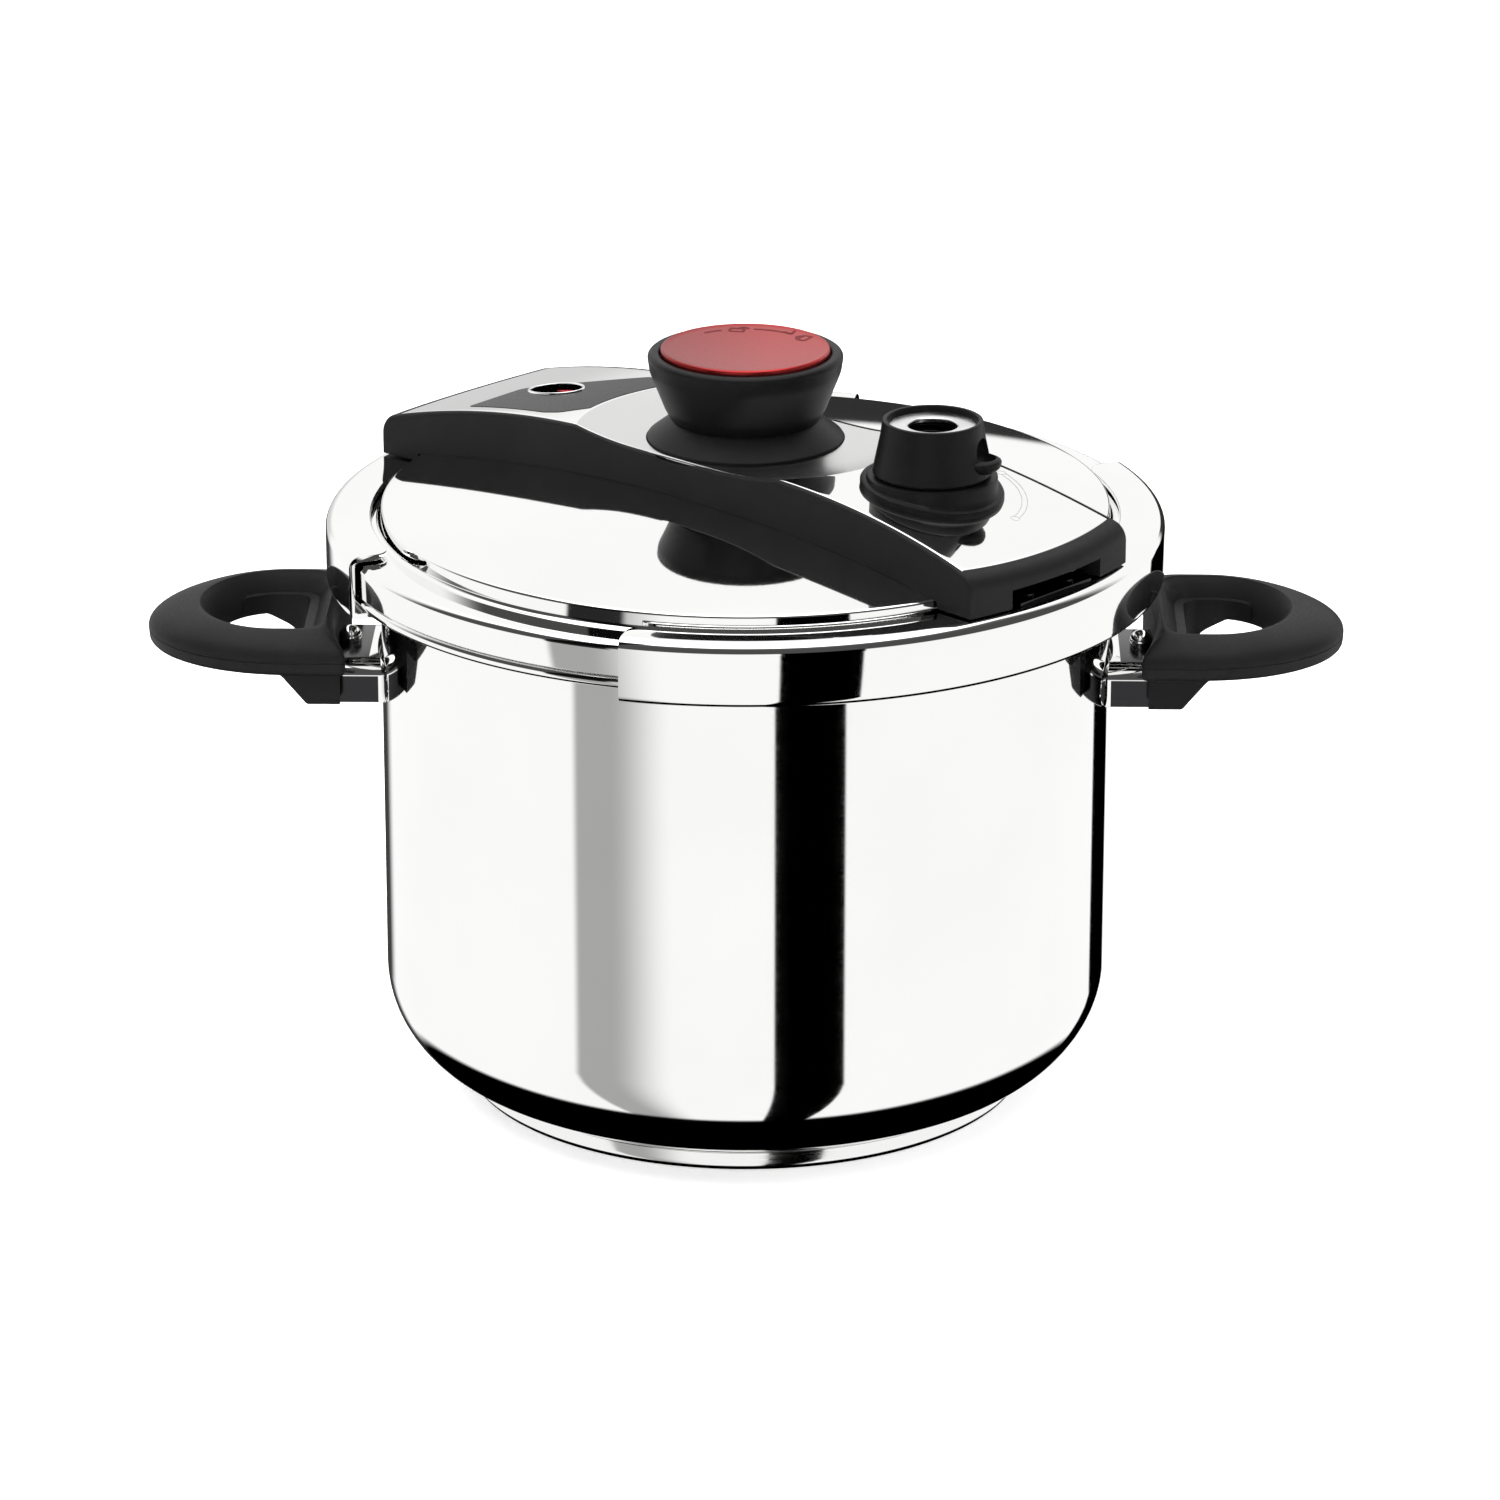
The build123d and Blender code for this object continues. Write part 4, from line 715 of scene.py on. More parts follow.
# ------------------------------------------------------------------ jaws
def jaw_mesh(name, direction):
    """Channel section carried round an arc.

    The top flange's inner edge runs out in a quarter circle towards both ends of the arc.
    """
    half, count = radians(64.5), 240
    lean = np.linspace(-1, 1, count)
    turn = direction + half * np.sin(lean * pi / 2)
    sheet, reach, lip, corner = 1.8 * MM, 13.8 * MM, 8.8 * MM, 6.0 * MM
    inner = JAW_RADIUS - reach
    outline = rounded(
        [
            (JAW_RADIUS, JAW_FOOT, 2.4 * MM),
            (JAW_RADIUS, JAW_TOP, 3.6 * MM),
            (inner, JAW_TOP, 0.6 * MM),
            (inner, JAW_TOP - sheet, 0.6 * MM),
            (JAW_RADIUS - sheet, JAW_TOP - sheet, 2.0 * MM),
            (JAW_RADIUS - sheet, JAW_FOOT + sheet, 1.0 * MM),
            (JAW_RADIUS - lip, JAW_FOOT + sheet, 0.6 * MM),
            (JAW_RADIUS - lip, JAW_FOOT, 0.6 * MM),
        ],
        steps=8,
    )
    from_end = (half - np.abs(turn - direction)) * inner
    missing = np.clip(corner - from_end, 0, corner)
    run_out = corner - np.sqrt(np.maximum(corner**2 - missing**2, 0))
    radius, height = outline[:, 0][None, :], outline[:, 1][None, :]
    flange = np.clip((JAW_RADIUS - 4 * MM - radius) / (reach - 4 * MM), 0, 1)
    on_top = (height > (JAW_TOP + JAW_FOOT) / 2) * flange
    radius = radius + on_top * run_out[:, None]
    grid = np.stack(
        [radius * np.cos(turn)[:, None], radius * np.sin(turn)[:, None], height + 0 * radius], -1
    )
    jaw = surface(name, grid, wrap_columns=True, caps=True)
    return jaw


class CookerJaws(bpy.types.Operator):
    """The two clamp jaws"""

    bl_idname = "cooker.jaws"
    bl_label = "Jaws"

    def execute(self, context):
        edge = context.scene.cooker_shape.sheet_edge
        for name, direction, body, node in (
            ("front_jaw", BRIDGE_ANGLE, "front_clamp", "jaw_front"),
            ("rear_jaw", BRIDGE_ANGLE + pi, "rear_clamp", "jaw_rear"),
        ):
            jaw = jaw_mesh(name, direction)
            soften(jaw, edge, 50.0)
            settle(jaw, Finishes.get("pressed_steel"), body, "polished_steel", node)
        return {"FINISHED"}


# ------------------------------------------------------------------ handles and brackets
def by_angle(outline, centre, angles):
    """Distance from a centre to a star-shaped outline at each angle, by interpolation."""
    offset = outline - np.asarray(centre)
    turn = np.unwrap(np.arctan2(offset[:, 1], offset[:, 0]))
    if turn[-1] < turn[0]:
        turn, offset = turn[::-1], offset[::-1]
    distance = np.hypot(offset[:, 0], offset[:, 1])
    turn = np.concatenate([turn - TURN, turn, turn + TURN])
    return np.interp(angles, turn, np.tile(distance, 3))


def dense(outline, step=0.25 * MM):
    """Closed outline with points added along its straight runs."""
    closed = np.vstack([outline, outline[:1]])
    length = np.concatenate([[0], np.cumsum(np.linalg.norm(np.diff(closed, axis=0), axis=1))])
    places = np.linspace(0, length[-1], int(length[-1] / step), endpoint=False)
    return np.stack([np.interp(places, length, closed[:, axis]) for axis in (0, 1)], -1)


def half_ellipse(centre, along, half, flat, corner):
    """Outline with an elliptical end on the +X side and a flat end at X = flat."""
    turn = np.linspace(-pi / 2, pi / 2, 60)
    points = [(centre + along * cos(a), half * sin(a), 0) for a in turn]
    return rounded(points + [(flat, half, corner), (flat, -half, corner)], steps=10)


def pot_side(half, radius, corner):
    """Points of the arc round the pot that ends a handle's loop."""
    lean = np.linspace(1, -1, 30) * half
    return [(sqrt(radius**2 - y**2), y, corner if abs(y) == half else 0) for y in lean]


def handle_mesh(name, side):
    """Loop and foot of one handle.

    A section is carried round the finger hole. It is blended, at each angle about the hole's
    middle, between the hole's two outlines and the loop's outline.
    """
    parting = HANDLE_CREST - 7.8 * MM
    under = parting - 4.4 * MM
    hole_outer = HANDLE_TIP - 16.1 * MM
    hole_inner = hole_outer - 39.2 * MM
    centre = (hole_inner + 18 * MM, 0.0)
    turn = np.linspace(-pi / 2, pi / 2, 60)
    middle = HANDLE_TIP - 45.3 * MM
    tip = [(middle + 45.3 * MM * cos(a), HANDLE_HALF * sin(a), 0) for a in turn]
    loop = rounded(tip + pot_side(HANDLE_HALF - 0.01 * MM, HANDLE_INNER, 3 * MM), steps=8)
    crest_line = half_ellipse(hole_inner + 15 * MM, 24.2 * MM, 27.6 * MM, hole_inner, 9 * MM)
    floor_line = half_ellipse(hole_inner + 17 * MM, 17.2 * MM, 21.2 * MM, hole_inner + 7 * MM, 8 * MM)
    angles = np.linspace(0, TURN, 400, endpoint=False)
    outer = by_angle(dense(loop), centre, angles)[:, None]
    crest = by_angle(dense(crest_line), centre, angles)[:, None]
    floor = by_angle(dense(floor_line), centre, angles)[:, None]
    groove = bpy.context.scene.cooker_shape.parting_groove
    rows = []

    def row(distance, height):
        rows.append((distance + 0 * outer, height + 0 * outer))

    round_under = 2.2 * MM
    row(floor, under + 0.8 * MM)
    row(floor + 0.25 * MM, under + 0.25 * MM)
    row(floor + 0.8 * MM, under)
    row((floor + outer) / 2, under)
    for angle in np.linspace(0, pi / 2, 6):
        row(
            outer - round_under * (1 - sin(angle)) - 0.15 * MM,
            under + round_under * (1 - cos(angle)),
        )
    row(outer - 0.02 * MM, parting - 0.35 * MM)
    row(outer - groove, parting - 0.15 * MM)
    row(outer - groove, parting + 0.05 * MM)
    row(outer, parting + 0.25 * MM)
    rise = HANDLE_CREST - parting - 0.25 * MM
    limit = radians(74)
    for angle in np.linspace(0, limit, 18)[1:]:
        inward = (1 - cos(angle)) / (1 - cos(limit))
        row(
            outer + (crest + 0.5 * MM - outer) * inward,
            parting + 0.25 * MM + rise * sin(angle) / sin(limit),
        )
    row(crest + 0.12 * MM, HANDLE_CREST - 0.05 * MM)
    row(crest - 0.1 * MM, HANDLE_CREST - 0.4 * MM)
    for part in np.linspace(0.08, 0.95, 8):
        eased = part + 0.10 * sin(pi * part)
        row(crest + (floor - crest) * eased, HANDLE_CREST + (under + 0.8 * MM - HANDLE_CREST) * part)
    distance = np.concatenate([item[0] for item in rows], 1)
    height = np.concatenate([item[1] for item in rows], 1)
    grid = np.stack(
        [
            centre[0] + distance * np.cos(angles)[:, None],
            distance * np.sin(angles)[:, None],
            height,
        ],
        -1,
    )
    handle = surface(name, grid, wrap_rows=True, wrap_columns=True, sharp=38)

    foot_half = 26.0 * MM
    foot_line = rounded(
        [
            (HANDLE_INNER - 4 * MM, parting + 2 * MM, 0),
            (HANDLE_INNER - 4 * MM, HANDLE_FOOT, 0),
            (HANDLE_INNER + 7.6 * MM, HANDLE_FOOT, 1.6 * MM),
            (HANDLE_INNER + 15.5 * MM, HANDLE_FOOT + 9.4 * MM, 9 * MM),
            (HANDLE_INNER + 23.5 * MM, under + 0.6 * MM, 6 * MM),
            (HANDLE_INNER + 30 * MM, under + 0.8 * MM, 0),
            (HANDLE_INNER + 30 * MM, parting + 2 * MM, 0),
        ],
        steps=10,
    )
    across = np.array([-1, 1]) * foot_half
    foot_grid = np.stack(
        [np.column_stack([foot_line[:, 0], np.full(len(foot_line), y), foot_line[:, 1]]) for y in across]
    )
    foot = surface("foot", foot_grid, wrap_columns=True, caps=True)
    soften(foot, 1.2 * MM, 50.0, 3)
    hole_low = np.array(dense(floor_line, 1.0 * MM))
    boolean(foot, block("hole", hole_low, HANDLE_FOOT - 5 * MM, HANDLE_CREST))
    ring = [(HANDLE_INNER * cos(a), HANDLE_INNER * sin(a)) for a in np.linspace(0, TURN, 400)[:-1]]
    boolean(foot, block("pot_room", ring, HANDLE_FOOT - 5 * MM, HANDLE_CREST))
    boolean(handle, foot, "UNION")
    tidy_mesh(handle, 38, 0)
    if side < 0:
        mirror_x(handle)
    return handle


def mirror_x(piece):
    """Turns a piece into its mirror image across the plane X = 0."""
    count = len(piece.data.vertices)
    points = np.empty(count * 3)
    piece.data.vertices.foreach_get("co", points)
    points = points.reshape(-1, 3)
    points[:, 0] *= -1
    piece.data.vertices.foreach_set("co", points.ravel())
    piece.data.flip_normals()
    piece.data.update()
    piece.data.set_sharp_from_angle(angle=radians(38))


def bracket_mesh(name, side):
    """Bent sheet box from the pot's wall to the handle, with a lens-shaped weld flange."""
    plate = BRACKET_TOP
    half, drop, sheet, bend = 20.0 * MM, 13.0 * MM, 1.5 * MM, 5.2 * MM
    outline = rounded(
        [
            (-half, plate - drop, 0.3 * MM),
            (-half, plate, bend),
            (half, plate, bend),
            (half, plate - drop, 0.3 * MM),
            (half - sheet, plate - drop, 0.3 * MM),
            (half - sheet, plate - sheet, bend - sheet),
            (-half + sheet, plate - sheet, bend - sheet),
            (-half + sheet, plate - drop, 0.3 * MM),
        ],
        steps=10,
    )
    starts = np.sqrt(POT_RADIUS**2 - outline[:, 0] ** 2) - 0.3 * MM
    ends = np.sqrt(HANDLE_INNER**2 - outline[:, 0] ** 2) + 1.0 * MM
    rows = []
    for part in np.linspace(0, 1, 8):
        rows.append(np.column_stack([starts + (ends - starts) * part, outline]))
    box = surface(name, np.stack(rows), wrap_columns=True, caps=True)

    lens_half, lens_rise, middle = 27.0 * MM, 10.0 * MM, plate - drop / 2
    across, up = np.meshgrid(np.linspace(-1, 1, 49), np.linspace(-1, 1, 25), indexing="ij")
    width = across * lens_half
    rise = np.sqrt(np.maximum(1 - across**2, 0)) * lens_rise
    height = middle + up * rise
    bulge = (1 - across**2) * (1 - up**4)
    outer_radius = POT_RADIUS + 0.15 * MM + 1.6 * MM * bulge
    inner_radius = POT_RADIUS - 0.3 * MM + 0 * bulge
    shells = []
    for radius in (outer_radius, inner_radius):
        shells.append(np.stack([np.sqrt(radius**2 - width**2), width, height], -1))
    front, back = shells
    ring = np.concatenate([front, back[:, ::-1]], 1)
    lens = surface("lens", ring, wrap_columns=True)
    joined = join(name, [box, lens])
    if side < 0:
        mirror_x(joined)
    return joined


def paint_dark_reflection_on_flats(bracket):
    """Paints the flat outer faces of a bracket's box dark as a painted dark reflection; the rounded
    bends keep the bright steel.
    """
    mesh = bracket.data
    count = len(mesh.polygons)
    normal, centre = np.empty(count * 3), np.empty(count * 3)
    mesh.polygons.foreach_get("normal", normal)
    mesh.polygons.foreach_get("center", centre)
    normal, centre = normal.reshape(-1, 3), centre.reshape(-1, 3)
    flat = (np.abs(normal[:, 2]) > 0.99) | (np.abs(normal[:, 2]) < 0.12)
    away = np.hypot(centre[:, 0], centre[:, 1]) > POT_RADIUS + 2.2 * MM
    # painted reflection: near-black steel on the flat faces stands in for the dark surroundings mirrored
    # there
    mesh.materials.append(Finishes.get("dark_steel_and_painted_reflection"))
    mesh.polygons.foreach_set("material_index", (flat & away).astype(np.int32))
    mesh.update()


def join(name, pieces):
    """One object out of several meshes."""
    points, faces, start = [], [], 0
    for piece in pieces:
        mesh = piece.data
        place = np.empty(3 * len(mesh.vertices))
        corner = np.empty(len(mesh.loops), np.int32)
        first = np.empty(len(mesh.polygons), np.int32)
        mesh.vertices.foreach_get("co", place)
        mesh.loops.foreach_get("vertex_index", corner)
        mesh.polygons.foreach_get("loop_start", first)
        points.append(place.reshape(-1, 3))
        faces += [part.tolist() for part in np.split(corner + start, first[1:])]
        start += len(mesh.vertices)
        bpy.data.objects.remove(piece)
        bpy.data.meshes.remove(mesh)
    return new_object(name, np.concatenate(points), faces)


class CookerHandles(bpy.types.Operator):
    """Loop handles, their brackets and the dome-headed rivets"""

    bl_idname = "cooker.handles"
    bl_label = "Handles and brackets"

    def execute(self, context):
        rivet_top = high("bracket_rivets").z
        plate = low("bracket_rivets").z
        seat, middle = BRACKET_TOP, rivet_top - 3.6 * MM
        rivets = []
        for word, side in (("right", 1), ("left", -1)):
            handle = handle_mesh(f"{word}_loop", side)
            settle(handle, Finishes.get("black_plastic"), "pot", "black_plastic", f"{word}_handle")
            bracket = bracket_mesh(f"{word}_bracket_sheet", side)
            settle(
                bracket, Finishes.get("pressed_steel"), "pot", "polished_steel", f"{word}_bracket"
            )
            # the bracket's flat faces get a painted dark reflection
            paint_dark_reflection_on_flats(bracket)
            dome = np.linspace(0, pi / 2, 16)
            head = np.concatenate(
                [
                    [(0, plate), (2.4 * MM, plate), (2.4 * MM, seat), (3.5 * MM, seat)],
                    np.stack([3.6 * MM * np.cos(dome), middle + 3.6 * MM * np.sin(dome)], -1)[:-1],
                    [(0, middle + 3.6 * MM)],
                ]
            )
            place = (high("bracket_rivets").x - 3.6 * MM) * side
            rivets.append(lathe("rivet", head, (place, 0.0), 48))
        rivets = join("rivet_heads", rivets)
        settle(rivets, Finishes.get("pressed_steel"), "pot", "fastener_steel", "bracket_rivets")
        return {"FINISHED"}


# ------------------------------------------------------------------ bridge
def slab(name, along, across, top, bottom, sharp=32.0):
    """Closed plate: two grids of heights over the same places, joined by a wall round the border."""
    rows, columns = along.shape
    count = rows * columns
    upper, lower = on_bridge(along, across, top), on_bridge(along, across, bottom)
    index = np.arange(count).reshape(rows, columns)
    faces = np.array(grid_faces(rows, columns))
    border = np.concatenate([index[0], index[1:, -1], index[-1, -2::-1], index[-2:0:-1, 0]])
    ahead = np.roll(border, -1)
    wall = np.stack([border, ahead, ahead + count, border + count], -1)
    faces = np.concatenate([faces, faces[:, ::-1] + count, wall])
    points = np.concatenate([upper.reshape(-1, 3), lower.reshape(-1, 3)])
    return new_object(name, points, faces.tolist(), sharp)


def fallen(part, edge):
    """Drop of a rounded border: edge - sqrt(edge^2 - a^2), where a = part x edge."""
    return edge * (1 - np.sqrt(np.maximum(1 - part**2, 0)))


class CookerBridge(bpy.types.Operator):
    """Moulded bridge across the lid"""

    bl_idname = "cooker.bridge"
    bl_label = "Bridge"

    def execute(self, context):
        edge = context.scene.cooker_shape.bridge_edge
        half, end, gap = BRIDGE_HALF, BRIDGE_END, 0.01 * MM
        lip, wall_half, notch = half - 1.6 * MM, half - 2.5 * MM, 18.0 * MM
        end_edge = 3.4 * MM
        pocket_end, hollow_end = COVER_END + 0.1 * MM, COVER_END - 1.0 * MM
        roll = np.sin(np.linspace(pi / 2, 0, 8))
        steps = [lip + gap, lip, wall_half + gap, wall_half]
        inner = np.linspace(wall_half, notch + gap, 15)[1:-1]
        middle = np.linspace(notch, 0, 20)
        side = np.concatenate([half - edge * (1 - roll), steps, inner, [notch + gap], middle])
        across = np.concatenate([side, -side[-2::-1]])
        side_roll = np.zeros(len(side))
        side_roll[: len(roll)] = roll
        side_roll = np.concatenate([side_roll, side_roll[-2::-1]])
        tail = np.concatenate(
            [end - end_edge * (1 - roll), [pocket_end + gap, pocket_end, hollow_end + gap]]
        )
        inside = np.sin(np.linspace(-1, 1, 200) * pi / 2)
        arcs = np.concatenate([tail, np.full(len(inside), hollow_end), tail[::-1]])
        parts = np.concatenate([np.full(len(tail), -1.0), inside, np.full(len(tail), 1.0)])
        end_roll = np.zeros(len(arcs))
        end_roll[: len(roll)] = roll
        end_roll[-len(roll) :] = roll[::-1]
        along = parts[:, None] * np.sqrt(arcs[:, None] ** 2 - across[None, :] ** 2)
        narrow = np.broadcast_to(across, along.shape)
        wide = flared(along, narrow)
        arcs = np.broadcast_to(arcs[:, None], along.shape)
        radius = np.hypot(along, wide)
        crown = crown_height(along, wide)
        in_pocket = (np.abs(narrow) <= lip) & (arcs <= pocket_end)
        rounding = fallen(side_roll[None, :], edge) + fallen(end_roll[:, None], end_edge)
        top = crown - 1.0 * MM * in_pocket - rounding
        top = np.where(radius < DISH_FLOOR - 0.5 * MM, BRIDGE_TOP - 3.9 * MM, top)
        sphere = dome_height(np.minimum(radius, DOME_EDGE)) + 0.02 * MM
        bottom = np.where(radius < DOME_EDGE + 1.0 * MM, sphere, BRIDGE_FOOT)
        under_notch = (np.abs(narrow) <= notch) & (arcs > hollow_end)
        bottom = np.where(under_notch, BRIDGE_FOOT + 5.7 * MM, bottom)
        in_hollow = (np.abs(narrow) <= wall_half) & (arcs <= hollow_end)
        ceiling = np.minimum(crown, top + 1.0 * MM) - 3.2 * MM
        bottom = np.where(in_hollow, np.maximum(ceiling, bottom), bottom)
        body = slab("bridge_shell", along, wide, top, bottom, 34)
        turn = np.linspace(0, TURN, 97)[:-1]
        for place, long, broad in (
            (0.0, 8.2 * MM, 8.2 * MM),
            (VALVE_OFFSET, 17.0 * MM, 17.0 * MM),
            (WINDOW_OFFSET, 9.4 * MM, 6.6 * MM),
        ):
            outline = on_bridge(place + long * np.cos(turn), broad * np.sin(turn), 0.0)[:, :2]
            boolean(body, block("hole", outline, LID_FLANGE, BRIDGE_TOP + 5 * MM))
        tidy_mesh(body, 34, 1e-7)
        settle(body, Finishes.get("black_plastic"), "pot", "black_plastic", "bridge_body")
        return {"FINISHED"}


def cover_mesh(name, sign, edge, half, end):
    """Steel cover of half the bridge.

    The top follows the crown from the knob's seat to the dish's rim and on to the end, and its
    outer border is rolled down in a quarter circle of the edge's radius.
    """
    start, sheet = COVER_START, 0.8 * MM
    roll = np.sin(np.linspace(pi / 2, 0, 6))
    side = np.concatenate([half - edge * (1 - roll), np.linspace(half - edge, 0, 26)[1:]])
    side_roll = np.concatenate([roll, np.zeros(25)])
    across = np.concatenate([side, -side[-2::-1]])
    side_roll = np.concatenate([side_roll, side_roll[-2::-1]])
    seat = np.sqrt(np.maximum(start**2 - across**2, 0))
    rim = np.sqrt(DISH_RADIUS**2 - across**2)
    part = np.linspace(0, 1, 16)[:, None]
    dish = seat + (rim - seat) * part
    last = np.sqrt((end - edge) ** 2 - across**2)
    part = np.linspace(0, 1, 48)[1:, None]
    top_run = rim + (last - rim) * part
    tail = end - edge * (1 - roll[-2::-1])
    tail_run = np.sqrt(tail[:, None] ** 2 - across[None, :] ** 2)
    along = np.concatenate([dish, top_run, tail_run])
    end_roll = np.concatenate([np.zeros(len(dish) + len(top_run)), roll[-2::-1]])
    wide = flared(along, across)
    crown = crown_height(along, wide)
    height = crown - fallen(np.maximum(side_roll[None, :], end_roll[:, None]), edge)
    return slab(name, sign * along, sign * wide, height, crown - sheet, 26)


class CookerCovers(bpy.types.Operator):
    """Steel covers of the bridge, the window's panel and bezel"""

    bl_idname = "cooker.covers"
    bl_label = "Covers and window"

    def execute(self, context):
        edge = context.scene.cooker_shape.cover_edge
        half, end = 30.6 * MM, COVER_END
        turn = np.linspace(0, TURN, 97)[:-1]
        front = cover_mesh("valve_cover", 1, edge, half, end)
        outline = on_bridge(VALVE_OFFSET + 18 * MM * np.cos(turn), 18 * MM * np.sin(turn), 0.0)
        boolean(front, block("hole", outline[:, :2], LID_FLANGE, BRIDGE_TOP + 5 * MM))
        tidy_mesh(front, 26, 1e-7)
        settle(front, Finishes.get("cover_steel"), "pot", "polished_steel", "cover_front")

        rear = cover_mesh("window_cover", -1, edge, half, end)
        oval = (10.0 * MM, 7.25 * MM)
        outline = on_bridge(WINDOW_OFFSET + oval[0] * np.cos(turn), oval[1] * np.sin(turn), 0.0)
        boolean(rear, block("hole", outline[:, :2], LID_FLANGE, BRIDGE_TOP + 5 * MM))
        tidy_mesh(rear, 26, 1e-7)
        settle(rear, Finishes.get("cover_steel"), "pot", "polished_steel", "cover_rear")

        rim = DISH_RADIUS + 1.2 * MM
        arc = [(rim * cos(radians(a)), rim * sin(radians(a)), 0) for a in np.linspace(160, 196, 30)]
        panel = rounded(
            [(-61.0 * MM, 23.5 * MM, 1 * MM)]
            + arc
            + [
                (-55.5 * MM, -23.5 * MM, 3 * MM),
                (-60.0 * MM, -25.8 * MM, 3 * MM),
                (-91.5 * MM, -26.0 * MM, 1 * MM),
                (-93.0 * MM, -1.0 * MM, 4 * MM),
                (-74.0 * MM, 12.5 * MM, 6 * MM),
            ],
            steps=6,
        )
        inlay = draped("window_inlay", panel, 0.12 * MM, 0.5 * MM)
        boolean(inlay, block("hole", outline[:, :2], LID_FLANGE, BRIDGE_TOP + 5 * MM))
        tidy_mesh(inlay, 28, 1e-7)
        settle(inlay, Finishes.get("panel_plastic"), "pot", "black_plastic", "window_panel")

        section = rounded(
            [
                (-0.15 * MM, 0.7 * MM, 0.35 * MM),
                (0.85 * MM, 0.5 * MM, 0.25 * MM),
                (0.85 * MM, -4.5 * MM, 0),
                (0.62 * MM, -4.5 * MM, 0),
                (0.62 * MM, -0.3 * MM, 0),
                (-0.25 * MM, -0.1 * MM, 0.1 * MM),
            ],
            steps=6,
        )
        grid = []
        for inward, rise in section:
            along = WINDOW_OFFSET + (oval[0] - inward) * np.cos(turn)
            across = (oval[1] - inward) * np.sin(turn)
            grid.append(on_bridge(along, across, bridge_height(along) + rise))
        bezel = surface("window_rim", np.stack(grid), wrap_rows=True, wrap_columns=True)
        settle(bezel, Finishes.get("pressed_steel"), "pot", "polished_steel", "window_bezel")
        return {"FINISHED"}


def draped(name, outline, rise, depth):
    """Thin plate of an outline laid on the crown: a fan of rings towards the outline's middle."""
    outline = dense(outline, 0.6 * MM)
    middle = outline.mean(0)
    parts = np.linspace(1, 0, 24)
    rings = middle + (outline - middle)[None] * parts[:, None, None]
    height = crown_height(rings[..., 0], rings[..., 1])
    top = on_bridge(rings[..., 0], rings[..., 1], height + rise)
    low_side = on_bridge(rings[..., 0], rings[..., 1], height - depth)
    grid = np.concatenate([top[::-1], low_side])
    return surface(name, grid, wrap_columns=True, sharp=28)


# ------------------------------------------------------------------ knob
class CookerKnob(bpy.types.Operator):
    """Knob: skirt, cup, red insert and its printed signs"""

    bl_idname = "cooker.knob"
    bl_label = "Knob"

    def execute(self, context):
        bottom, top = low("knob_skirt").z, low("knob_cup").z
        wide, foot = high("knob_cup").x, 22.8 * MM
        skirt = rounded(
            [
                (7.8 * MM, bottom, 0),
                (wide, bottom, 0.5 * MM),
                (wide, bottom + 1.7 * MM, 0.6 * MM),
                (foot + 0.6 * MM, top - 1.2 * MM, 3.0 * MM),
                (foot - 0.6 * MM, top - 0.15 * MM, 0.3 * MM),
                (foot - 2.1 * MM, top - 0.15 * MM, 0),
                (foot - 2.1 * MM, top + 0.9 * MM, 0),
                (7.8 * MM, top + 0.9 * MM, 0),
            ],
            steps=8,
        )
        piece = lathe("knob_base_ring", skirt, segments=160)
        settle(piece, Finishes.get("knob_plastic"), "knob", "black_plastic", "knob_skirt")
        rim = high("knob_cup").z
        insert = 25.6 * MM
        cup = rounded(
            [
                (foot - 1.2 * MM, top, 0),
                (foot, top, 0.3 * MM),
                (foot + 1.7 * MM, top + 3.2 * MM, 6 * MM),
                (wide - 0.7 * MM, rim - 5.6 * MM, 9 * MM),
                (wide + 0.1 * MM, rim, 1.9 * MM),
                (insert + 0.4 * MM, rim, 0.9 * MM),
                (insert + 0.2 * MM, rim - 1.7 * MM, 0),
                (wide - 5.8 * MM, rim - 1.7 * MM, 0),
                (foot - 1.6 * MM, top + 6.3 * MM, 1 * MM),
                (9.2 * MM, top + 6.3 * MM, 0.4 * MM),
                (9.2 * MM, top + 4.0 * MM, 0),
                (15.2 * MM, top + 4.0 * MM, 0),
                (15.2 * MM, top + 1.1 * MM, 0),
                (foot - 1.2 * MM, top + 1.1 * MM, 0),
            ],
            steps=10,
        )
        piece = lathe("knob_bowl", cup, segments=192)
        settle(piece, Finishes.get("knob_plastic"), "knob", "black_plastic", "knob_cup")
        peak = high("knob_insert").z
        radii = np.linspace(0, insert - 1.4 * MM, 20)
        dish = [(r, peak - 1.0 * MM + 0.8 * MM * (r / insert) ** 2, 0) for r in radii]
        disc = rounded(
            dish
            + [
                (insert - 0.5 * MM, peak, 0.5 * MM),
                (insert, peak - 0.5 * MM, 0.4 * MM),
                (insert, peak - 3.0 * MM, 0),
                (0, peak - 3.0 * MM, 0),
            ],
            steps=6,
        )
        piece = lathe("knob_face", disc, segments=160)
        settle(piece, Finishes.get("red_lacquer"), "knob", "red_insert", "knob_insert")
        signs = knob_signs(peak)
        settle(signs, Finishes.get("dark_red_print"), "knob", "red_insert")
        return {"FINISHED"}


def strip(path, width, height_of, thick):
    """Thin printed line: a flat band of a width along a path, raised over a height function."""
    path = np.asarray(path, float)
    ahead = np.gradient(path, axis=0)
    ahead /= np.linalg.norm(ahead, axis=1)[:, None]
    side = np.stack([-ahead[:, 1], ahead[:, 0]], -1) * width / 2
    corners = [path + side, path - side]
    top = [np.column_stack([c, height_of(c[:, 0], c[:, 1]) + thick]) for c in corners]
    low_side = [np.column_stack([c, height_of(c[:, 0], c[:, 1]) - thick]) for c in corners[::-1]]
    grid = np.stack(top + low_side, 1)
    return surface("line", grid, wrap_columns=True, caps=True)


def arc_path(radius, first, last, count=40, centre=(0.0, 0.0)):
    """Points of an arc between two angles in degrees."""
    turn = np.radians(np.linspace(first, last, count))
    return np.stack([centre[0] + radius * np.cos(turn), centre[1] + radius * np.sin(turn)], -1)


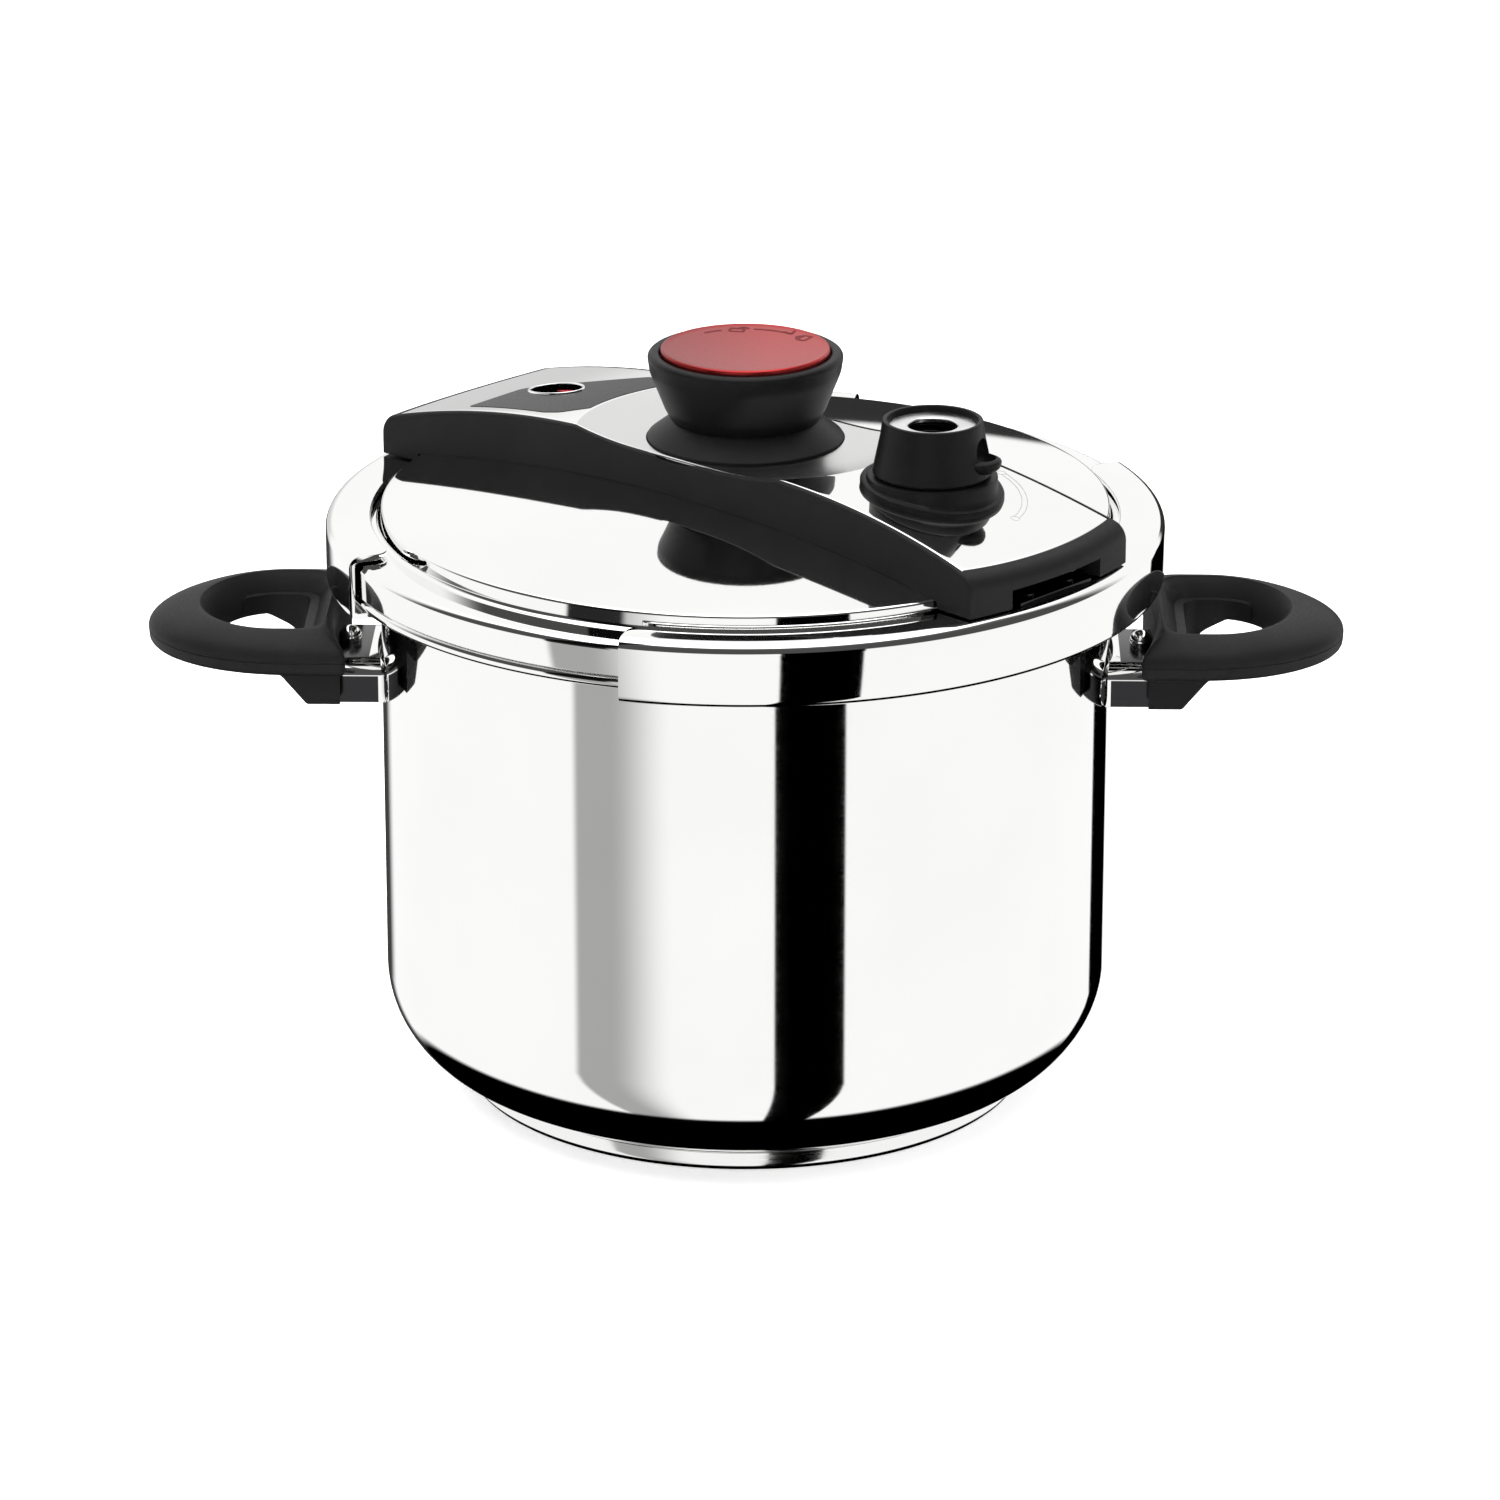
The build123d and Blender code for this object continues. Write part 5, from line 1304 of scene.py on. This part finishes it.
def padlock(centre, turn, size, opened):
    """Paths of a padlock sign: a body of four sides and a shackle, turned about its centre."""
    body = np.array([(-1, -1), (1, -1), (1, 0.3), (-1, 0.3), (-1, -1)]) * size
    shackle = arc_path(0.62 * size, 0, 180, 16) + np.array([0.9 * size if opened else 0.0, 0.3 * size])
    rotate = np.array([[cos(turn), sin(turn)], [-sin(turn), cos(turn)]])
    return [dense_line(body) @ rotate + centre, shackle @ rotate + centre]


def dense_line(points, step=0.4 * MM):
    """Open line with points added along its runs."""
    length = np.concatenate([[0], np.cumsum(np.linalg.norm(np.diff(points, axis=0), axis=1))])
    places = np.linspace(0, length[-1], max(2, int(length[-1] / step)))
    return np.stack([np.interp(places, length, points[:, axis]) for axis in (0, 1)], -1)


def knob_signs(peak):
    """Turn arrow and open and closed padlocks near the far edge of the knob's face."""
    insert = 25.6 * MM

    def face(x, y):
        return peak - 1.0 * MM + 0.8 * MM * (np.hypot(x, y) / insert) ** 2

    radius = 20.5 * MM
    paths = [arc_path(radius, 48, 84)]
    tip = arc_path(radius, 48, 49, 2)[0]
    for lean in (25, 85):
        away = np.array([cos(radians(48 + lean)), sin(radians(48 + lean))])
        paths.append(np.linspace(tip, tip + 3.4 * MM * away, 8))
    for angle, opened in ((98, True), (34, False)):
        place = np.array([radius * cos(radians(angle)), radius * sin(radians(angle))])
        paths += padlock(place, radians(90 - angle), 2.1 * MM, opened)
    paths.append(arc_path(radius, 112, 128, 16))
    lines = [strip(path, 0.95 * MM, face, 0.06 * MM) for path in paths]
    return join("knob_signs", lines)


# ------------------------------------------------------------------ valve
class CookerValve(bpy.types.Operator):
    """Pressure valve: collar, selector with its spout, disc and scale"""

    bl_idname = "cooker.valve"
    bl_label = "Pressure valve"

    def execute(self, context):
        centre = (VALVE_POINT[0], VALVE_POINT[1])
        plate = float(bridge_height(VALVE_OFFSET))
        neck = plate + 4.6 * MM
        collar_radius, neck_radius = 21.4 * MM, 19.4 * MM
        turn = np.linspace(0, TURN, 161)[:-1]
        section = [
            (5.8 * MM, -6.0 * MM, 0.0), (16.9 * MM, -6.0 * MM, 0.0), (16.9 * MM, 0.0, 1.0),
            (collar_radius, 0.0, 1.0), (collar_radius, 1.4 * MM, 1.0),
            (collar_radius - 0.25 * MM, 1.85 * MM, 1.0), (collar_radius - 0.8 * MM, 2.05 * MM, 1.0),
            (neck_radius + 0.7 * MM, 2.15 * MM, 1.0), (neck_radius + 0.15 * MM, 2.35 * MM, 0.8),
            (neck_radius, 2.9 * MM, 0.6), (neck_radius, 4.0 * MM, 0.0),
            (neck_radius - 0.2 * MM, 4.45 * MM, 0.0), (neck_radius - 0.7 * MM, 4.6 * MM, 0.0),
            (5.8 * MM, 4.6 * MM, 0.0),
        ]
        grid = []
        for radius, rise, follow in section:
            along = VALVE_OFFSET + radius * np.cos(turn)
            level = plate + follow * (bridge_height(along) - plate)
            grid.append(on_bridge(along, radius * np.sin(turn), level + rise))
        collar = surface("valve_seat_ring", np.stack(grid), wrap_rows=True, wrap_columns=True)
        settle(collar, Finishes.get("knob_plastic"), "pot", "black_plastic", "valve_collar")

        bottom, top = low("valve_selector").z, high("valve_selector").z
        foot, head, wall = 17.8 * MM, 14.9 * MM, 2.2 * MM
        inner = head - wall
        profile = rounded(
            [
                (4.6 * MM, bottom, 0),
                (foot - 0.6 * MM, bottom, 0.3 * MM),
                (foot, bottom + 0.9 * MM, 0.8 * MM),
                (head + 0.55 * MM, top - 4.5 * MM, 6 * MM),
                (head, top, 0.55 * MM),
                (inner + 0.9 * MM, top, 0.5 * MM),
                (inner + 0.3 * MM, top - 1.8 * MM, 0),
                (inner, top - 4.8 * MM, 0),
                (inner, bottom + 2.4 * MM, 0.5 * MM),
                (4.6 * MM, bottom + 2.4 * MM, 0),
            ],
            steps=8,
        )
        selector = lathe("valve_dial", profile, centre, 160)
        lip = spout_lip(centre, bottom)
        boolean(selector, lip, "UNION")
        boolean(selector, spout_mouth(centre, bottom))
        tidy_mesh(selector, 34, 1e-6)
        settle(selector, Finishes.get("knob_plastic"), "selector", "black_plastic", "valve_selector")

        disc_top = top - 1.8 * MM
        hole = 7.3 * MM
        ring = rounded(
            [
                (inner + 0.2 * MM, disc_top - 1.4 * MM, 0),
                (inner + 0.2 * MM, disc_top, 0.2 * MM),
                (hole + 0.4 * MM, disc_top, 0.4 * MM),
                (hole, disc_top - 0.4 * MM, 0.2 * MM),
                (hole, disc_top - 1.4 * MM, 0),
            ],
            steps=6,
        )
        disc = lathe("valve_top_disc", ring, centre, 128)
        settle(disc, Finishes.get("satin_aluminium"), "selector", "grey_metal", "valve_disc")

        def plate_height(x, y):
            along = x * cos(BRIDGE_ANGLE) + y * sin(BRIDGE_ANGLE)
            return bridge_height(along)

        paths = []
        for first, last, radius in ((16, 80, 26.6 * MM), (16, 80, 28.2 * MM)):
            paths.append(arc_path(radius, first, last, 40))
        for angle in (14, 82):
            for centre_radius in (27.4 * MM,):
                spot = arc_path(centre_radius, angle, angle, 1)[0]
                paths.append(arc_path(1.3 * MM, 0, 340, 20, spot))
        lines = []
        for path in paths:
            points = on_bridge(VALVE_OFFSET + path[:, 0], path[:, 1], 0.0)[:, :2]
            lines.append(strip(points, 0.22 * MM, plate_height, 0.04 * MM))
        scale = join("valve_scale", lines)
        settle(scale, Finishes.get("grey_print"), "pot", "black_plastic")
        return {"FINISHED"}


SPOUT = BRIDGE_ANGLE + radians(20.0)


def beside(centre, reach, side, height):
    """Points given along the spout's axis, across it and up."""
    x = centre[0] + reach * cos(SPOUT) - side * sin(SPOUT)
    y = centre[1] + reach * sin(SPOUT) + side * cos(SPOUT)
    return np.stack(np.broadcast_arrays(x, y, height), -1)


def spout_lip(centre, bottom):
    """Beak of the dial: flattened rings along the spout's axis that close to a blunt tip.

    Each ring is (half width x cos t, rise x sin t), with its upper half pressed down to 0.45.
    """
    reach = np.array([8.0, 14.0, 16.5, 18.6, 20.0, 20.9, 21.3]) * MM
    half = np.array([7.2, 6.9, 6.3, 5.3, 4.0, 2.4, 0.9]) * MM
    rise = np.array([4.3, 4.2, 3.9, 3.3, 2.6, 1.7, 0.8]) * MM
    turn = np.linspace(0, TURN, 49)[:-1]
    wave = np.sin(turn)
    press = np.where(wave > 0, 0.45, 1.0)
    side = half[:, None] * np.cos(turn)
    height = bottom + 5.4 * MM + rise[:, None] * wave * press
    grid = beside(centre, reach[:, None], side, height)
    return surface("lip", grid, wrap_columns=True, caps=True)


def spout_mouth(centre, bottom):
    """Ellipsoid that hollows the beak from above."""
    lean = np.linspace(-pi / 2, pi / 2, 17)[:, None]
    turn = np.linspace(0, TURN, 33)[:-1][None, :]
    reach = 15.6 * MM + 4.4 * MM * np.cos(lean) * np.cos(turn)
    side = 4.6 * MM * np.cos(lean) * np.sin(turn)
    height = bottom + 7.9 * MM + 4.6 * MM * np.sin(lean) + 0 * turn
    grid = beside(centre, reach, side, height)
    return surface("mouth", grid, wrap_columns=True)


# ------------------------------------------------------------------ carried-over nodes
class CookerInside(bpy.types.Operator):
    """Materials for the nodes that keep their own shape"""

    bl_idname = "cooker.inside"
    bl_label = "Inner parts"

    def execute(self, context):
        for node, finish in CARRIED.items():
            piece = frame["nodes"][node]
            piece.data.materials.clear()
            piece.data.materials.append(Finishes.get(finish))
        return {"FINISHED"}


# ------------------------------------------------------------------ stage
class CookerStage(bpy.types.Operator):
    """Floor, backdrop, light and camera"""

    bl_idname = "cooker.stage"
    bl_label = "Stage"

    def execute(self, context):
        scene = context.scene
        scene.view_settings.view_transform = "Standard"
        side = 6.0
        floor = new_object(
            "floor",
            [(-side, -side, 0), (side, -side, 0), (side, side, 0), (-side, side, 0)],
            [[0, 1, 2, 3]],
        )
        wall_turn = np.linspace(0, TURN, 97)[:-1]
        wall = np.stack(
            [
                np.column_stack([5.5 * np.cos(wall_turn), 5.5 * np.sin(wall_turn), 0 * wall_turn + z])
                for z in (-0.01, 5.0)
            ]
        )
        backdrop = surface("backdrop", wall, wrap_columns=True)
        paper, nodes, links, shader = start_material("white_paper")
        grain = noise(nodes, links, coordinates(nodes, links), 3.0, 2.0)
        tone = between(nodes, links, grain, 0.0, 1.0)
        links.new(blend_colours(nodes, links, tone, (0.93, 0.93, 0.93), (0.95, 0.95, 0.95)),
                  shader.inputs["Base Color"])
        shader.inputs["Roughness"].default_value = 0.9
        shader.inputs["Specular IOR Level"].default_value = 0.0
        shader.inputs["Emission Color"].default_value = (1.0, 1.0, 1.0, 1.0)
        shader.inputs["Emission Strength"].default_value = 0.35
        for item in (floor, backdrop):
            item.data.materials.append(paper)
            item.visible_glossy = False
        studio_world(scene)
        studio_lamps(scene)
        camera_at(scene)
        return {"FINISHED"}


def soft_step(nodes, links, value, start, end):
    """0 below start, 1 above end, smooth between."""
    remap = nodes.new("ShaderNodeMapRange")
    remap.interpolation_type = "SMOOTHSTEP"
    remap.inputs["From Min"].default_value = start
    remap.inputs["From Max"].default_value = end
    links.new(value, remap.inputs["Value"])
    return remap.outputs["Result"]


def combine(nodes, links, operation, first, second):
    """Math node on two values, each a socket or a number."""
    node = nodes.new("ShaderNodeMath")
    node.operation = operation
    for socket, value in zip(node.inputs, (first, second)):
        if isinstance(value, (int, float)):
            socket.default_value = value
        else:
            links.new(value, socket)
    return node.outputs[0]


FLAGS = [
    # azimuth from, to; softness there; elevation from, to; softness there; darkness (degrees)
    (10.3, 32.8, 0.9, 0.9, -90.0, 6.0, 1.0, 1.0),
    (-54.5, -32.0, 3.0, 22.0, -90.0, 6.0, 6.0, 0.6),
    (-54.5, -36.0, 1.5, 3.0, -13.0, 60.0, 2.0, 0.95),
    (147.0, 169.0, 1.5, 1.5, -60.0, -10.0, 2.0, 1.0),
    (-182.0, -156.0, 0.5, 11.0, -60.0, -10.0, 3.0, 0.95),
    (-108.0, 116.0, 24.0, 24.0, 3.0, 55.0, 5.0, 0.93),
    (152.0, 182.0, 6.0, 0.5, -12.0, 6.5, 1.5, 0.97),
    (-182.0, -150.0, 0.5, 8.0, -12.0, 8.0, 14.0, 0.35),
]
UNDER_CENTRE = (0.0, 0.3256, -0.9455)
UNDER_EDGE = (0.707, 0.755)


def band(nodes, links, value, start, end, soft_start, soft_end):
    """1 between start and end, falling to 0 over each softness."""
    rise = soft_step(nodes, links, value, start - soft_start / 2, start + soft_start / 2)
    fall = soft_step(nodes, links, value, end - soft_end / 2, end + soft_end / 2)
    return combine(nodes, links, "MULTIPLY", rise, combine(nodes, links, "SUBTRACT", 1.0, fall))


def studio_world(scene):
    """White surroundings with dark flags: bands of azimuth and elevation, and a cap underneath.

    Brightness = product over the flags of (1 - darkness x band(azimuth) x band(elevation)),
    times 1 minus the cap, times a soft rise towards the zenith.
    """
    world = bpy.data.worlds.new("studio")
    scene.world = world
    world.use_nodes = True
    nodes, links = world.node_tree.nodes, world.node_tree.links
    background = nodes["Background"]
    source = nodes.new("ShaderNodeTexCoord")
    split = nodes.new("ShaderNodeSeparateXYZ")
    links.new(source.outputs["Generated"], split.inputs[0])
    x, y, z = split.outputs
    azimuth = combine(nodes, links, "ARCTAN2", x, combine(nodes, links, "MULTIPLY", y, -1.0))
    azimuth = combine(nodes, links, "MULTIPLY", azimuth, 180 / pi)
    elevation = combine(nodes, links, "ARCSINE", z, 0.0)
    elevation = combine(nodes, links, "MULTIPLY", elevation, 180 / pi)
    facing = nodes.new("ShaderNodeVectorMath")
    facing.operation = "DOT_PRODUCT"
    facing.inputs[1].default_value = UNDER_CENTRE
    links.new(source.outputs["Generated"], facing.inputs[0])
    cap = soft_step(nodes, links, facing.outputs["Value"], *UNDER_EDGE)
    light = combine(nodes, links, "SUBTRACT", 1.0, cap)
    for left, right, soft_left, soft_right, bottom, top, soft, darkness in FLAGS:
        inside = combine(
            nodes, links, "MULTIPLY",
            band(nodes, links, azimuth, left, right, soft_left, soft_right),
            band(nodes, links, elevation, bottom, top, soft, soft),
        )
        dark = combine(nodes, links, "MULTIPLY", inside, darkness)
        kept = combine(nodes, links, "SUBTRACT", 1.0, dark)
        light = combine(nodes, links, "MULTIPLY", light, kept)
    zenith = combine(nodes, links, "MULTIPLY", soft_step(nodes, links, elevation, 36.0, 70.0), 1.4)
    light = combine(nodes, links, "MULTIPLY", light, combine(nodes, links, "ADD", 1.0, zenith))
    tone = nodes.new("ShaderNodeCombineColor")
    for socket in tone.inputs[:3]:
        links.new(light, socket)
    links.new(tone.outputs[0], background.inputs["Color"])
    background.inputs["Strength"].default_value = 1.03


def studio_lamps(scene):
    """Large soft boxes that model the plastic."""
    for name, place, size, power in (
        ("key", (-0.9, -0.3, 1.6), 1.0, 26.0),
        ("fill", (1.3, -0.4, 1.0), 0.8, 5.0),
    ):
        lamp = bpy.data.lights.new(name, "AREA")
        lamp.size = size
        lamp.energy = power
        item = bpy.data.objects.new(name, lamp)
        scene.collection.objects.link(item)
        item.location = place
        item.rotation_euler = (Vector((0, 0, 0.13)) - Vector(place)).to_track_quat("-Z", "Y").to_euler()
        item.visible_glossy = False


def camera_at(scene):
    """Camera of a long lens, a little above the rim."""
    camera = bpy.data.cameras.new("camera")
    item = bpy.data.objects.new("camera", camera)
    scene.collection.objects.link(item)
    target = Vector((0, 0, 0.10359))
    distance, elevation, azimuth = 2.1054, radians(19.94), radians(1.1)
    away = Vector((sin(azimuth) * cos(elevation), -cos(azimuth) * cos(elevation), sin(elevation)))
    item.location = target + away * distance
    item.rotation_euler = (-away).to_track_quat("-Z", "Y").to_euler()
    camera.lens = 164.4
    camera.sensor_width = 36.0
    camera.shift_x = 0.00305
    camera.clip_end = 30.0
    scene.camera = item


# ------------------------------------------------------------------ panel and registration
class CookerPanel(bpy.types.Panel):
    """Lists the pieces in the 3D view's sidebar"""

    bl_idname = "VIEW3D_PT_cooker"
    bl_label = "Pressure cooker"
    bl_space_type = "VIEW_3D"
    bl_region_type = "UI"
    bl_category = "Cooker"

    def draw(self, context):
        column = self.layout.column()
        for group in (context.scene.cooker_shape, context.scene.cooker_finish):
            for key in group.bl_rna.properties.keys():
                if key not in ("rna_type", "name"):
                    column.prop(group, key)
        for operator in OPERATORS:
            column.operator(operator.bl_idname)


OPERATORS = (
    CookerPot,
    CookerLid,
    CookerJaws,
    CookerHandles,
    CookerBridge,
    CookerCovers,
    CookerKnob,
    CookerValve,
    CookerInside,
    CookerStage,
)
CLASSES = (CookerFinish, CookerShape, *OPERATORS, CookerPanel)


def register():
    """Registers the classes and adds the settings to the scene."""
    for item in CLASSES:
        bpy.utils.register_class(item)
    bpy.types.Scene.cooker_finish = PointerProperty(type=CookerFinish)
    bpy.types.Scene.cooker_shape = PointerProperty(type=CookerShape)


def unregister():
    """Takes the settings and the classes away again."""
    del bpy.types.Scene.cooker_shape
    del bpy.types.Scene.cooker_finish
    for item in reversed(CLASSES):
        bpy.utils.unregister_class(item)


def main():
    """Builds the whole cooker and its stage."""
    register()
    for operator in OPERATORS:
        group, name = operator.bl_idname.split(".")
        getattr(getattr(bpy.ops, group), name)()


if __name__ == "__main__":
    main()
